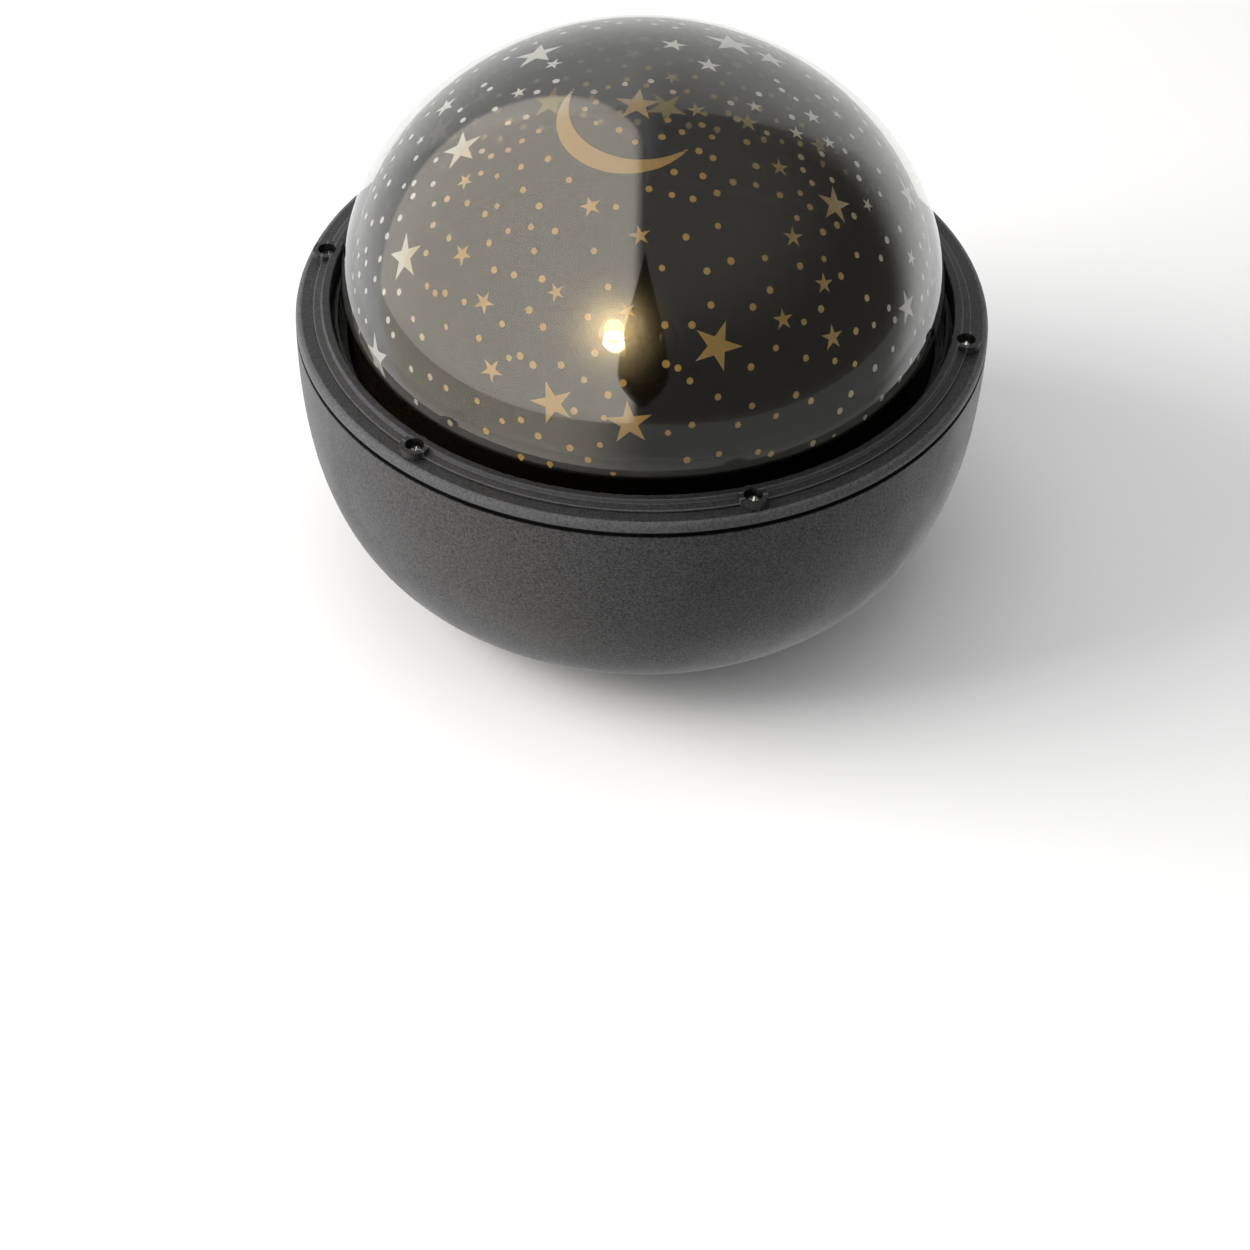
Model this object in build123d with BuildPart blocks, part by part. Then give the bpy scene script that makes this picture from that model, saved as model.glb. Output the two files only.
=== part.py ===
"""Star night light projector: a bowl base, a stepped bezel ring and a clear dome over a turning star dome.

Millimetres, +Z up. The origin is the centre of the plane that the four rubber feet rest on, and the star
dome turns about Z. The control buttons are on +Y, the motor is on -Y and the batteries load from below.
"""

import os
from collections import namedtuple
from math import acos, cos, pi, radians, sin, sqrt, tan

from build123d import *

os.makedirs("parts", exist_ok=True)

LOW = (Align.CENTER, Align.CENTER, Align.MIN)
HIGH = (Align.CENTER, Align.CENTER, Align.MAX)

# ---------------------------------------------------------------- driving dimensions

# Shell
body_radius = 85.5            # the widest radius, at the parting line
parting_height = 69.0         # where the bezel ring meets the bowl
foot_height = 1.5             # the feet stand out this far below the bowl
bowl_wall = 2.6
bowl_floor = 2.6
bowl_flat_radius = 44.0       # flat bottom of the bowl
bowl_side_fullness = 0.69     # how far the side stays upright, as a share of the depth
bowl_corner_fullness = 0.70   # how far the bottom stays level, as a share of its reach
seam_relief = 0.4             # chamfer on the bezel's side of the parting line
seam_gap_height = 1.1         # shadow gap round the bowl, just below the parting line
seam_gap_depth = 1.2

# Bezel ring
bezel_width = 8.6             # from the widest radius in to the opening
bezel_rise = 4.85             # inner lip above the parting line
lip_width = 2.1
first_tread_drop = 1.1
first_tread_slope = 0.45
first_tread_width = 2.1
second_tread_drop = 0.6
rim_width = 1.5
rim_rise = 2.6
lip_round = 0.4
spigot_drop = 1.8             # the bezel reaches down this far inside the bowl
spigot_clearance = 0.2

# Bezel screws in their bosses
bezel_screw_count = 6
boss_radius = 3.5
boss_inset = 0.05             # from the bezel's opening to the boss
boss_length = 14.0            # below the parting line, inside the bowl
counterbore_radius = 2.3
screw_seat_rise = 1.6         # screw head's seat above the parting line
screw_clearance = 0.15        # shank in a through hole
thread_clearance = 0.05       # shank in the boss that it bites into
thread_end_gap = 0.5          # below the screw's tip

# Outer dome, its flange and gasket
dome_gap = 2.7                # between dome and bezel
dome_rise = 65.45             # above the widest plane of the dome
dome_plane_rise = 6.5         # the dome's widest plane above the parting line
dome_wall = 1.6
quarter_ellipse_pull = 0.5523 # control points' reach that bends a cubic curve into a quarter ellipse
flange_thickness = 2.0
flange_clearance = 1.2        # flange to the inside of the bowl
notch_clearance = 0.4         # flange and spigot around the screw bosses
gasket_thickness = 1.0
gasket_lip_gap = 1.0          # from the dome to the gasket's upright lip
gasket_lip_width = 0.7
gasket_lip_rise = 1.0         # above the parting line
ledge_thickness = 2.4
ledge_overlap = 1.2           # the ledge reaches in past the dome's inner face

# Star dome and turntable
star_gap = 0.7                # between the two domes
star_wall = 1.0
turntable_drop = 6.2          # turntable's top below the ledge
turntable_thickness = 2.5
rim_spigot_height = 2.5
rim_spigot_width = 1.5
rim_spigot_clearance = 0.1
hub_tube_radius = 14.0        # the fixed tube that the turntable turns on
hub_wall = 4.0
running_clearance = 0.05
end_float = 0.1
hub_rise = 1.7                # hub above the turntable's top
deck_gap = 12.0               # turntable's top above the deck's top
washer_thickness = 1.0

# Gears
gear_module = 1.0
turntable_teeth = 80
pinion_teeth = 16
pressure_angle = 20.0
tooth_addendum = 0.8          # in modules
tooth_dedendum = 1.25         # in modules
backlash = 0.3
ring_gear_width = 4.75        # from the roots in to the ring's inside
ring_gear_depth = 6.0         # below the turntable's disc
pinion_end_gap = 0.3
pinion_face = 5.5
pinion_hub_radius = 4.0
pinion_hub_length = 1.5

# Lamp
bulb_count = 4
bulb_circle_radius = 7.0
bulb_radius = 2.5
bulb_height = 8.6
bulb_flange_radius = 2.9
bulb_flange_height = 1.0
board_thickness = 1.6
lamp_board_clearance = 0.2
lamp_shoulder = 1.5           # the tube's bore narrows by this under the lamp board
lamp_bore_wall = 2.0          # wall of the hub tube above the shoulder
lamp_board_depth = 6.0        # shoulder below the top of the hub tube
retainer_flange_width = 3.5   # beyond the hub tube
retainer_flange_thickness = 1.5
retainer_wall = 1.3
retainer_clearance = 0.1

# Deck
deck_inset = 12.9             # in from the bowl's inside at the parting line
deck_thickness = 2.5
deck_post_radius = 4.0
deck_post_inset = 6.0         # post centres in from the deck's edge

# Motor, with its gearbox on top
gearbox_radius = 12.5
gearbox_length = 12.0
motor_radius = 12.0
motor_length = 14.0
motor_shaft_radius = 2.0
motor_shaft_offset = 4.0      # from the motor's own axis, towards the turntable
shaft_bore_depth = 10.0
shaft_boss_radius = 3.5
shaft_boss_height = 1.5
shaft_boss_clearance = 1.0
motor_screw_half_spacing = 9.0
motor_edge_chamfer = 1.0

# Batteries, their box and its door
cell_count = 3
cell_radius = 7.1
cell_length = 50.5
cell_nub_radius = 2.75
cell_nub_length = 1.3
cell_pitch = 15.0
cell_bed_gap = 0.4            # under and beside the row of cells
spring_length = 5.0
spring_radius = 3.2
spring_wire_radius = 0.4
contact_thickness = 0.5
contact_width = 12.0
contact_height = 12.0
box_wall = 1.6
box_headroom = 0.5            # above the cells
door_side_margin = 0.9        # beyond the battery box
door_screw_offset = 2.55      # door screws beyond the ends of the battery box
door_screw_inset = 4.0        # from the door's ends
door_corner_radius = 6.0
door_clearance = 0.3
door_head_sink = 1.3
door_boss_radius = 3.0
door_boss_height = 8.0
door_boss_roof = 1.0
box_lug_size = 7.0
box_lug_thickness = 2.5
box_lug_height = 4.9          # lug's underside above the bowl's floor
box_lug_spacing = 36.0
box_post_radius = 3.0

# Feet
foot_radius = 4.2
foot_half_spacing_x = 30.5
foot_half_spacing_y = 24.5
foot_recess = 0.8
foot_chamfer = 0.4

# Main circuit board
main_board_width = 46.0
main_board_length = 56.0
main_board_centre_y = 2.0
main_board_edge = 4.0         # screw centres in from the board's edges
standoff_height = 3.2
standoff_radius = 2.5
connector_width = 7.0
connector_depth = 4.6
connector_height = 5.0
connector_inset = 3.5         # end connectors in from the board's edges
lamp_connector_offset = 2.0   # from the board's centre, towards the buttons
battery_connector_x = 14.5
battery_connector_offset = 14.0
chip_size = 8.0
chip_height = 1.2
chip_x = 12.0
chip_offset = 10.0            # from the board's centre, away from the buttons
capacitor_radius = 3.2
capacitor_height = 8.0
capacitor_spacing = 12.0
capacitor_x = -13.0
capacitor_edge_round = 0.5

# Buttons and their switch board
button_names = ("light", "colour", "spin")
button_drop = 7.5             # button centres below the deck plate
button_pitch = 13.0
button_radius = 4.5
button_stand_out = 1.4        # from the bowl's surface
button_travel = 0.8
button_clearance = 0.2
button_flange_radius = 5.8
button_flange_thickness = 1.2
button_flange_gap = 0.1
button_edge_round = 0.6
pad_depth = 5.52              # from the bowl's surface in to its flat face behind the buttons
pad_half_width = 19.5
pad_half_height = 8.0
pad_pocket_depth = 4.0        # flat pocket in the bowl's inside that clears the button flanges
plunger_radius = 1.7
plunger_clearance = 0.2
plunger_reach = 1.3           # plunger's length inside the switch
switch_gap = 3.4              # switch's front to the button's flange
switch_size = 6.2
switch_depth = 3.5
switch_board_width = 54.0
switch_board_height = 14.0
switch_post_half_spacing = 23.0
switch_post_radius = 2.8

# Leads
lead_radius = 0.6
lead_half_spacing = 1.2
lead_exit = 6.0               # straight run out of the battery box
lead_bend_share = 0.45        # of the shorter run at a corner, taken by the bend
lamp_lead_exit = 8.0
lamp_lead_rise = 15.0         # from the connector to where the pair turns up the hub tube
motor_terminal_height = 3.5   # above the can's bottom
motor_lead_exit = 4.0         # straight run out of the can
motor_lead_reach = 7.0        # from the can to where the pair is level with its connector
switch_lead_reaches = (13.0, 27.0)
battery_lead_reach = 8.0      # beyond the battery box
battery_lead_start = 4.0      # above the cells' centres
battery_lead_bend = 12.0      # above the cells' centres
battery_lead_entry = 10.0     # straight run into the connector

# ---------------------------------------------------------------- screws

Screw = namedtuple("Screw", "head_radius head_height shank_radius length")
bezel_screw = Screw(2.1, 1.7, 1.3, 9.0)
deck_screw = Screw(2.2, 1.7, 1.3, 8.0)
motor_screw = Screw(2.0, 1.5, 1.1, 6.5)
box_screw = Screw(2.0, 1.5, 1.1, 6.5)
board_screw = Screw(1.8, 1.2, 1.0, 4.8)
door_screw = Screw(2.0, 1.2, 1.1, 7.0)
recess_width = 0.6            # of the cross in a screw's head
recess_span = 2.4
recess_depth = 0.7
head_crown_share = 0.72       # the head's top radius, of its widest

# ---------------------------------------------------------------- places worked out from the dimensions

# Radii, from the outside in
bezel_inner_radius = body_radius - bezel_width
dome_radius = bezel_inner_radius - dome_gap
dome_inner_radius = dome_radius - dome_wall
star_radius = dome_inner_radius - star_gap
star_inner_radius = star_radius - star_wall
bowl_inner_radius = body_radius - bowl_wall
screw_circle_radius = bezel_inner_radius + boss_inset + boss_radius
flange_radius = bowl_inner_radius - flange_clearance
deck_radius = bowl_inner_radius - deck_inset
ledge_inner_radius = dome_inner_radius + dome_wall - ledge_overlap
gasket_inner_radius = dome_radius + gasket_lip_gap

# Heights of the shell
floor_height = foot_height + bowl_floor
bezel_top = parting_height + bezel_rise
dome_plane = parting_height + dome_plane_rise
gasket_top = parting_height - spigot_drop
flange_top = gasket_top - gasket_thickness
ledge_top = flange_top - flange_thickness
ledge_bottom = ledge_top - ledge_thickness

# Heights of the turning parts and the deck under them
turntable_top = ledge_top - turntable_drop
turntable_bottom = turntable_top - turntable_thickness
deck_top = turntable_top - deck_gap
deck_bottom = deck_top - deck_thickness
hub_bottom = deck_top + washer_thickness + end_float
hub_top = turntable_top + hub_rise
tube_top = hub_top + end_float
lamp_seat = tube_top - lamp_board_depth
lamp_board_top = lamp_seat + board_thickness
gear_bottom = turntable_bottom - ring_gear_depth
pinion_top = turntable_bottom - pinion_end_gap
pinion_bottom = pinion_top - pinion_face
hub_bore_radius = hub_tube_radius + running_clearance
tube_bore_radius = hub_tube_radius - lamp_bore_wall
tube_lower_bore_radius = tube_bore_radius - lamp_shoulder
deck_post_radius_out = deck_radius - deck_post_inset

# Gears
turntable_pitch_radius = gear_module * turntable_teeth / 2
pinion_pitch_radius = gear_module * pinion_teeth / 2
shaft_y = -(turntable_pitch_radius + pinion_pitch_radius)
motor_y = shaft_y - motor_shaft_offset
gearbox_bottom = deck_bottom - gearbox_length
motor_bottom = gearbox_bottom - motor_length

# Battery box
cell_height = floor_height + cell_bed_gap + cell_radius
cavity_half_width = (cell_count - 1) * cell_pitch / 2 + cell_radius + cell_bed_gap
cavity_half_length = cell_length / 2 + spring_length / 2 + contact_thickness
box_half_width = cavity_half_width + box_wall
box_half_length = cavity_half_length + box_wall
box_inner_top = cell_height + cell_radius + box_headroom
box_top = box_inner_top + box_wall
lug_bottom = floor_height + box_lug_height
lug_top = lug_bottom + box_lug_thickness
lug_centre_x = box_half_width + box_lug_size / 2
door_width = 2 * (box_half_width + door_side_margin)
door_screw_y = box_half_length + door_screw_offset
door_length = 2 * (door_screw_y + door_screw_inset)

# Main board
main_board_bottom = box_top + standoff_height
main_board_top = main_board_bottom + board_thickness
connector_top = main_board_top + connector_height
connector_lead_height = main_board_top + connector_height / 2


def bowl_controls(radius, floor):
    """Control points of the bowl's side, from the parting line down to its flat bottom, in the XZ plane."""
    depth = parting_height - floor
    reach = radius - bowl_flat_radius
    return [
        (radius, parting_height),
        (radius, parting_height - bowl_side_fullness * depth),
        (bowl_flat_radius + bowl_corner_fullness * reach, floor),
        (bowl_flat_radius, floor),
    ]


def bowl_radius_at(height, radius, floor):
    """Radius of the bowl's side at a height, found by halving the curve's parameter."""
    low, high = 0.0, 1.0
    controls = bowl_controls(radius, floor)
    for _ in range(40):
        t = (low + high) / 2
        weights = ((1 - t) ** 3, 3 * t * (1 - t) ** 2, 3 * t * t * (1 - t), t ** 3)
        level = sum(w * point[1] for w, point in zip(weights, controls))
        low, high = (t, high) if level > height else (low, t)
    return sum(w * point[0] for w, point in zip(weights, controls))


# Buttons, from the bowl's surface in to the switch board
button_height = deck_bottom - button_drop
button_surface_radius = bowl_radius_at(button_height, body_radius, foot_height)
pad_face_y = button_surface_radius - pad_depth
flange_front_y = pad_face_y - button_flange_gap
flange_back_y = flange_front_y - button_flange_thickness
switch_front_y = flange_back_y - switch_gap
switch_back_y = switch_front_y - switch_depth
switch_board_back_y = switch_back_y - board_thickness


def add_cylinder(radius, bottom, top, places=((0, 0),), mode=Mode.ADD):
    """Add or cut upright cylinders between two heights at the given (x, y) places."""
    with Locations(*[(x, y, bottom) for x, y in places]):
        Cylinder(radius, top - bottom, align=LOW, mode=mode)


def add_ring(outer_radius, inner_radius, bottom, top, mode=Mode.ADD):
    """Add or cut an upright ring about Z between two heights."""
    with BuildSketch(Plane.XY.offset(bottom)) as section:
        Circle(outer_radius)
        Circle(inner_radius, mode=Mode.SUBTRACT)
    extrude(section.sketch, amount=top - bottom, mode=mode)


def add_peg(x, radius, back_y, front_y, mode=Mode.ADD):
    """Add or cut a round peg along Y at the buttons' height."""
    with BuildSketch(Plane.XZ.offset(-back_y)) as section:
        with Locations((x, button_height)):
            Circle(radius)
    extrude(section.sketch, amount=back_y - front_y, mode=mode)


def add_block(width, length, bottom, top, places=((0, 0),), mode=Mode.ADD):
    """Add or cut upright blocks between two heights at the given (x, y) places."""
    with Locations(*[(x, y, bottom) for x, y in places]):
        Box(width, length, top - bottom, align=LOW, mode=mode)


def on_circle(radius, count, start=0.0):
    """The (x, y) places of an even pattern on a circle about Z, from a start angle in degrees."""
    angles = [radians(start + 360 * k / count) for k in range(count)]
    return [(radius * cos(a), radius * sin(a)) for a in angles]


def corners(half_x, half_y, centre_x=0.0, centre_y=0.0):
    """The (x, y) places of a rectangle's four corners."""
    return [(centre_x + sx * half_x, centre_y + sy * half_y) for sx in (-1, 1) for sy in (-1, 1)]


def add_screws(screw, seats):
    """Add pan head screws with a cross recess: heads on +Z, their seats at the given Locations."""
    with Locations(*seats):
        Cylinder(screw.shank_radius, screw.length, align=HIGH)
        Cylinder(screw.head_radius, screw.head_height / 2, align=LOW)
        with Locations((0, 0, screw.head_height / 2)):
            Cone(screw.head_radius, head_crown_share * screw.head_radius, screw.head_height / 2, align=LOW)
        with Locations((0, 0, screw.head_height)):
            Box(recess_span, recess_width, recess_depth, align=HIGH, mode=Mode.SUBTRACT)
            Box(recess_width, recess_span, recess_depth, align=HIGH, mode=Mode.SUBTRACT)


def seats_up(places, height):
    """Seats for screws driven down along -Z at (x, y) places."""
    return [Location((x, y, height)) for x, y in places]


def seats_down(places, height):
    """Seats for screws driven up along +Z, with their heads on -Z, at (x, y) places."""
    return [Location((x, y, height), (180, 0, 0)) for x, y in places]


def tooth_half_angle(teeth, radius):
    """Half of a tooth's angle at a radius: an involute flank, thinned by half of the backlash."""
    pitch_radius = gear_module * teeth / 2
    base_radius = pitch_radius * cos(radians(pressure_angle))

    def involute(cosine):
        angle = acos(min(1.0, cosine))
        return tan(angle) - angle

    at_pitch = pi / (2 * teeth) - backlash / (4 * pitch_radius)
    return at_pitch + involute(base_radius / pitch_radius) - involute(base_radius / radius)


def add_gear_outline(teeth, centre=(0.0, 0.0), turn=0.0):
    """Sketch a spur gear's outline; one tooth points along +X when turn, in degrees, is zero."""
    pitch_radius = gear_module * teeth / 2
    radii = [
        pitch_radius - tooth_dedendum * gear_module,
        pitch_radius - tooth_addendum * gear_module / 2,
        pitch_radius,
        pitch_radius + tooth_addendum * gear_module,
    ]
    points = []
    for tooth in range(teeth):
        middle = radians(turn) + 2 * pi * tooth / teeth
        rising = [(r, middle - tooth_half_angle(teeth, r)) for r in radii]
        falling = [(r, middle + tooth_half_angle(teeth, r)) for r in reversed(radii)]
        points += [(centre[0] + r * cos(a), centre[1] + r * sin(a)) for r, a in rising + falling]
    with BuildLine() as outline:
        Polyline(*points, close=True)
    make_face(outline.edges())


def quarter_ellipse(radius, rise):
    """Control points of a dome's curve, from its widest plane up to its top, in the XZ plane."""
    return [
        (radius, dome_plane),
        (radius, dome_plane + quarter_ellipse_pull * rise),
        (quarter_ellipse_pull * radius, dome_plane + rise),
        (0, dome_plane + rise),
    ]


def dome_shell(outer_radius, outer_rise, wall, foot):
    """Revolve a dome: an upright skirt up to the dome's plane, then a quarter ellipse to the top."""
    with BuildSketch(Plane.XZ) as section:
        with BuildLine():
            Line((outer_radius, foot), (outer_radius, dome_plane))
            Bezier(*quarter_ellipse(outer_radius, outer_rise))
            Line((0, dome_plane + outer_rise), (0, dome_plane + outer_rise - wall))
            Bezier(*quarter_ellipse(outer_radius - wall, outer_rise - wall))
            Line((outer_radius - wall, dome_plane), (outer_radius - wall, foot))
            Line((outer_radius - wall, foot), (outer_radius, foot))
        make_face()
    revolve(section.sketch, axis=Axis.Z)


def lead_path(points):
    """Draw straight runs joined by tangent arcs, each as large as its shorter run allows."""
    corners_in = [Vector(*p) for p in points]
    start = corners_in[0]
    for before, here, after in zip(corners_in, corners_in[1:], corners_in[2:]):
        along, onward = (here - before).normalized(), (after - here).normalized()
        cut = lead_bend_share * min((here - before).length, (after - here).length)
        arc_start, arc_end = here - along * cut, here + onward * cut
        Line(start, arc_start)
        TangentArc(arc_start, arc_end, tangent=along)
        start = arc_end
    Line(start, corners_in[-1])


def add_lead(points):
    """Add one round lead along a route."""
    with BuildLine() as route:
        lead_path(points)
    heading = Vector(*points[1]) - Vector(*points[0])
    with BuildSketch(Plane(origin=points[0], z_dir=heading)) as section:
        Circle(lead_radius)
    sweep(section.sketch, path=route.wires()[0])


# ---------------------------------------------------------------- shared places

bezel_screw_places = on_circle(screw_circle_radius, bezel_screw_count)
deck_post_places = on_circle(deck_post_radius_out, 4, 45)
foot_places = corners(foot_half_spacing_x, foot_half_spacing_y)
box_lug_places = corners(lug_centre_x, box_lug_spacing / 2)
door_screw_places = [(0, -door_screw_y), (0, door_screw_y)]
standoff_places = corners(
    main_board_width / 2 - main_board_edge,
    main_board_length / 2 - main_board_edge,
    0,
    main_board_centre_y,
)
motor_screw_places = [(-motor_screw_half_spacing, motor_y), (motor_screw_half_spacing, motor_y)]
cell_columns = [(k - (cell_count - 1) / 2) * cell_pitch for k in range(cell_count)]
button_columns = [(k - 1) * button_pitch for k in range(len(button_names))]
switch_post_columns = [-switch_post_half_spacing, switch_post_half_spacing]

# ---------------------------------------------------------------- base bowl

# The hollow inside the bowl; what is cut from it stays as bowl: ledge, bosses, posts and the button pad.
with BuildPart() as hollow:
    with BuildSketch(Plane.XZ):
        with BuildLine():
            Bezier(*bowl_controls(bowl_inner_radius, floor_height))
            Line((bowl_flat_radius, floor_height), (0, floor_height))
            Line((0, floor_height), (0, parting_height))
            Line((0, parting_height), (bowl_inner_radius, parting_height))
        make_face()
    revolve(axis=Axis.Z)
    add_ring(body_radius, ledge_inner_radius, ledge_bottom, ledge_top, mode=Mode.SUBTRACT)
    add_cylinder(
        boss_radius, parting_height - boss_length, parting_height, bezel_screw_places, mode=Mode.SUBTRACT
    )
    add_cylinder(deck_post_radius, 0, deck_bottom, deck_post_places, mode=Mode.SUBTRACT)
    add_cylinder(box_post_radius, 0, lug_bottom, box_lug_places, mode=Mode.SUBTRACT)
    with Locations((0, pad_face_y, button_height)):
        Box(
            2 * pad_half_width,
            pad_pocket_depth,
            2 * pad_half_height,
            align=(Align.CENTER, Align.MAX, Align.CENTER),
        )
        Box(
            2 * pad_half_width,
            body_radius,
            2 * pad_half_height,
            align=(Align.CENTER, Align.MIN, Align.CENTER),
            mode=Mode.SUBTRACT,
        )
    for x in switch_post_columns:
        add_peg(x, switch_post_radius, switch_back_y, body_radius, mode=Mode.SUBTRACT)

with BuildPart() as base_bowl:
    with BuildSketch(Plane.XZ):
        with BuildLine():
            Bezier(*bowl_controls(body_radius, foot_height))
            Line((bowl_flat_radius, foot_height), (0, foot_height))
            Line((0, foot_height), (0, parting_height))
            Line((0, parting_height), (body_radius, parting_height))
        make_face()
    revolve(axis=Axis.Z)
    add_ring(
        body_radius + seam_gap_depth,
        body_radius - seam_gap_depth,
        parting_height - seam_gap_height,
        parting_height,
        mode=Mode.SUBTRACT,
    )
    add(hollow.part, mode=Mode.SUBTRACT)
    thread_radius = bezel_screw.shank_radius + thread_clearance
    bezel_thread_bottom = parting_height + screw_seat_rise - bezel_screw.length - thread_end_gap
    add_cylinder(
        thread_radius, bezel_thread_bottom, parting_height, bezel_screw_places, mode=Mode.SUBTRACT
    )
    add_cylinder(
        deck_screw.shank_radius + thread_clearance,
        deck_top - deck_screw.length - thread_end_gap,
        deck_bottom,
        deck_post_places,
        mode=Mode.SUBTRACT,
    )
    add_cylinder(
        box_screw.shank_radius + thread_clearance,
        lug_top - box_screw.length - thread_end_gap,
        lug_bottom,
        box_lug_places,
        mode=Mode.SUBTRACT,
    )
    add_cylinder(foot_radius, 0, foot_height + foot_recess, foot_places, mode=Mode.SUBTRACT)
    with BuildSketch(Plane.XY):
        RectangleRounded(
            door_width + 2 * door_clearance,
            door_length + 2 * door_clearance,
            door_corner_radius + door_clearance,
        )
    extrude(amount=floor_height, mode=Mode.SUBTRACT)
    for x in button_columns:
        add_peg(x, button_radius + button_clearance, pad_face_y, body_radius, mode=Mode.SUBTRACT)
    switch_thread_end = switch_board_back_y + board_screw.length + thread_end_gap
    for x in switch_post_columns:
        add_peg(
            x,
            board_screw.shank_radius + thread_clearance,
            switch_back_y,
            switch_thread_end,
            mode=Mode.SUBTRACT,
        )
base_bowl.part.label = "base_bowl"
export_step(base_bowl.part, "parts/base_bowl.step")

# Rubber feet, set into the flat bottom
with BuildPart() as rubber_feet:
    add_cylinder(foot_radius, 0, foot_height + foot_recess, foot_places)
    chamfer(rubber_feet.edges().group_by(Axis.Z)[0], foot_chamfer)
rubber_feet.part.label = "rubber_feet"
export_step(rubber_feet.part, "parts/rubber_feet.step")

# ---------------------------------------------------------------- bezel ring

step_one_radius = bezel_inner_radius + lip_width
step_two_radius = step_one_radius + first_tread_width
first_tread_top = bezel_top - first_tread_drop
first_tread_edge = first_tread_top - first_tread_slope
second_tread_top = first_tread_edge - second_tread_drop
rim_start_radius = body_radius - rim_width
rim_start_height = parting_height + rim_rise
spigot_radius = bowl_inner_radius - spigot_clearance

with BuildPart() as bezel_ring:
    with BuildSketch(Plane.XZ):
        with BuildLine():
            Line((bezel_inner_radius, gasket_top), (bezel_inner_radius, bezel_top - lip_round))
            RadiusArc(
                (bezel_inner_radius, bezel_top - lip_round),
                (bezel_inner_radius + lip_round, bezel_top),
                lip_round,
            )
            Polyline(
                (bezel_inner_radius + lip_round, bezel_top),
                (step_one_radius, bezel_top),
                (step_one_radius, first_tread_top),
                (step_two_radius, first_tread_edge),
                (step_two_radius, second_tread_top),
                (rim_start_radius, rim_start_height),
            )
            Bezier(
                (rim_start_radius, rim_start_height),
                (body_radius, rim_start_height),
                (body_radius, parting_height + seam_relief),
            )
            Polyline(
                (body_radius, parting_height + seam_relief),
                (body_radius - seam_relief, parting_height),
                (spigot_radius, parting_height),
                (spigot_radius, gasket_top),
                (bezel_inner_radius, gasket_top),
            )
        make_face()
    revolve(axis=Axis.Z)
    add_cylinder(boss_radius, parting_height, bezel_top, bezel_screw_places)
    add_cylinder(
        boss_radius + notch_clearance, gasket_top, parting_height, bezel_screw_places, mode=Mode.SUBTRACT
    )
    add_cylinder(
        counterbore_radius,
        parting_height + screw_seat_rise,
        bezel_top,
        bezel_screw_places,
        mode=Mode.SUBTRACT,
    )
    add_cylinder(
        bezel_screw.shank_radius + screw_clearance,
        parting_height,
        bezel_top,
        bezel_screw_places,
        mode=Mode.SUBTRACT,
    )
bezel_ring.part.label = "bezel_ring"
export_step(bezel_ring.part, "parts/bezel_ring.step")

with BuildPart() as bezel_screws:
    add_screws(bezel_screw, seats_up(bezel_screw_places, parting_height + screw_seat_rise))
bezel_screws.part.label = "bezel_screws"
export_step(bezel_screws.part, "parts/bezel_screws.step")

# ---------------------------------------------------------------- outer dome and gasket

with BuildPart() as outer_dome:
    dome_shell(dome_radius, dome_rise, dome_wall, ledge_top)
    add_ring(flange_radius, dome_inner_radius, ledge_top, flange_top)
    add_cylinder(
        boss_radius + notch_clearance, ledge_top, parting_height, bezel_screw_places, mode=Mode.SUBTRACT
    )
outer_dome.part.label = "outer_dome"
export_step(outer_dome.part, "parts/outer_dome.step")

with BuildPart() as dome_gasket:
    add_ring(flange_radius, gasket_inner_radius, flange_top, gasket_top)
    add_cylinder(
        boss_radius + notch_clearance, flange_top, gasket_top, bezel_screw_places, mode=Mode.SUBTRACT
    )
    add_ring(
        gasket_inner_radius + gasket_lip_width,
        gasket_inner_radius,
        flange_top,
        parting_height + gasket_lip_rise,
    )
dome_gasket.part.label = "dome_gasket"
export_step(dome_gasket.part, "parts/dome_gasket.step")

# ---------------------------------------------------------------- star dome and turntable

with BuildPart() as star_dome:
    dome_shell(star_radius, dome_rise - dome_wall - star_gap, star_wall, turntable_top)
star_dome.part.label = "star_dome"
export_step(star_dome.part, "parts/star_dome.step")

rim_spigot_radius = star_inner_radius - rim_spigot_clearance
ring_gear_root = turntable_pitch_radius - tooth_dedendum * gear_module

with BuildPart() as turntable:
    add_ring(star_radius, hub_bore_radius, turntable_bottom, turntable_top)
    add_ring(
        rim_spigot_radius,
        rim_spigot_radius - rim_spigot_width,
        turntable_top,
        turntable_top + rim_spigot_height,
    )
    add_ring(hub_bore_radius + hub_wall, hub_bore_radius, hub_bottom, hub_top)
    with BuildSketch(Plane.XY.offset(gear_bottom)):
        add_gear_outline(turntable_teeth, turn=-90)
        Circle(ring_gear_root - ring_gear_width, mode=Mode.SUBTRACT)
    extrude(amount=ring_gear_depth)
turntable.part.label = "turntable"
export_step(turntable.part, "parts/turntable.step")

with BuildPart() as thrust_washer:
    add_ring(hub_bore_radius + hub_wall, hub_bore_radius, deck_top, deck_top + washer_thickness)
thrust_washer.part.label = "thrust_washer"
export_step(thrust_washer.part, "parts/thrust_washer.step")

# ---------------------------------------------------------------- deck plate with the hub tube

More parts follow.
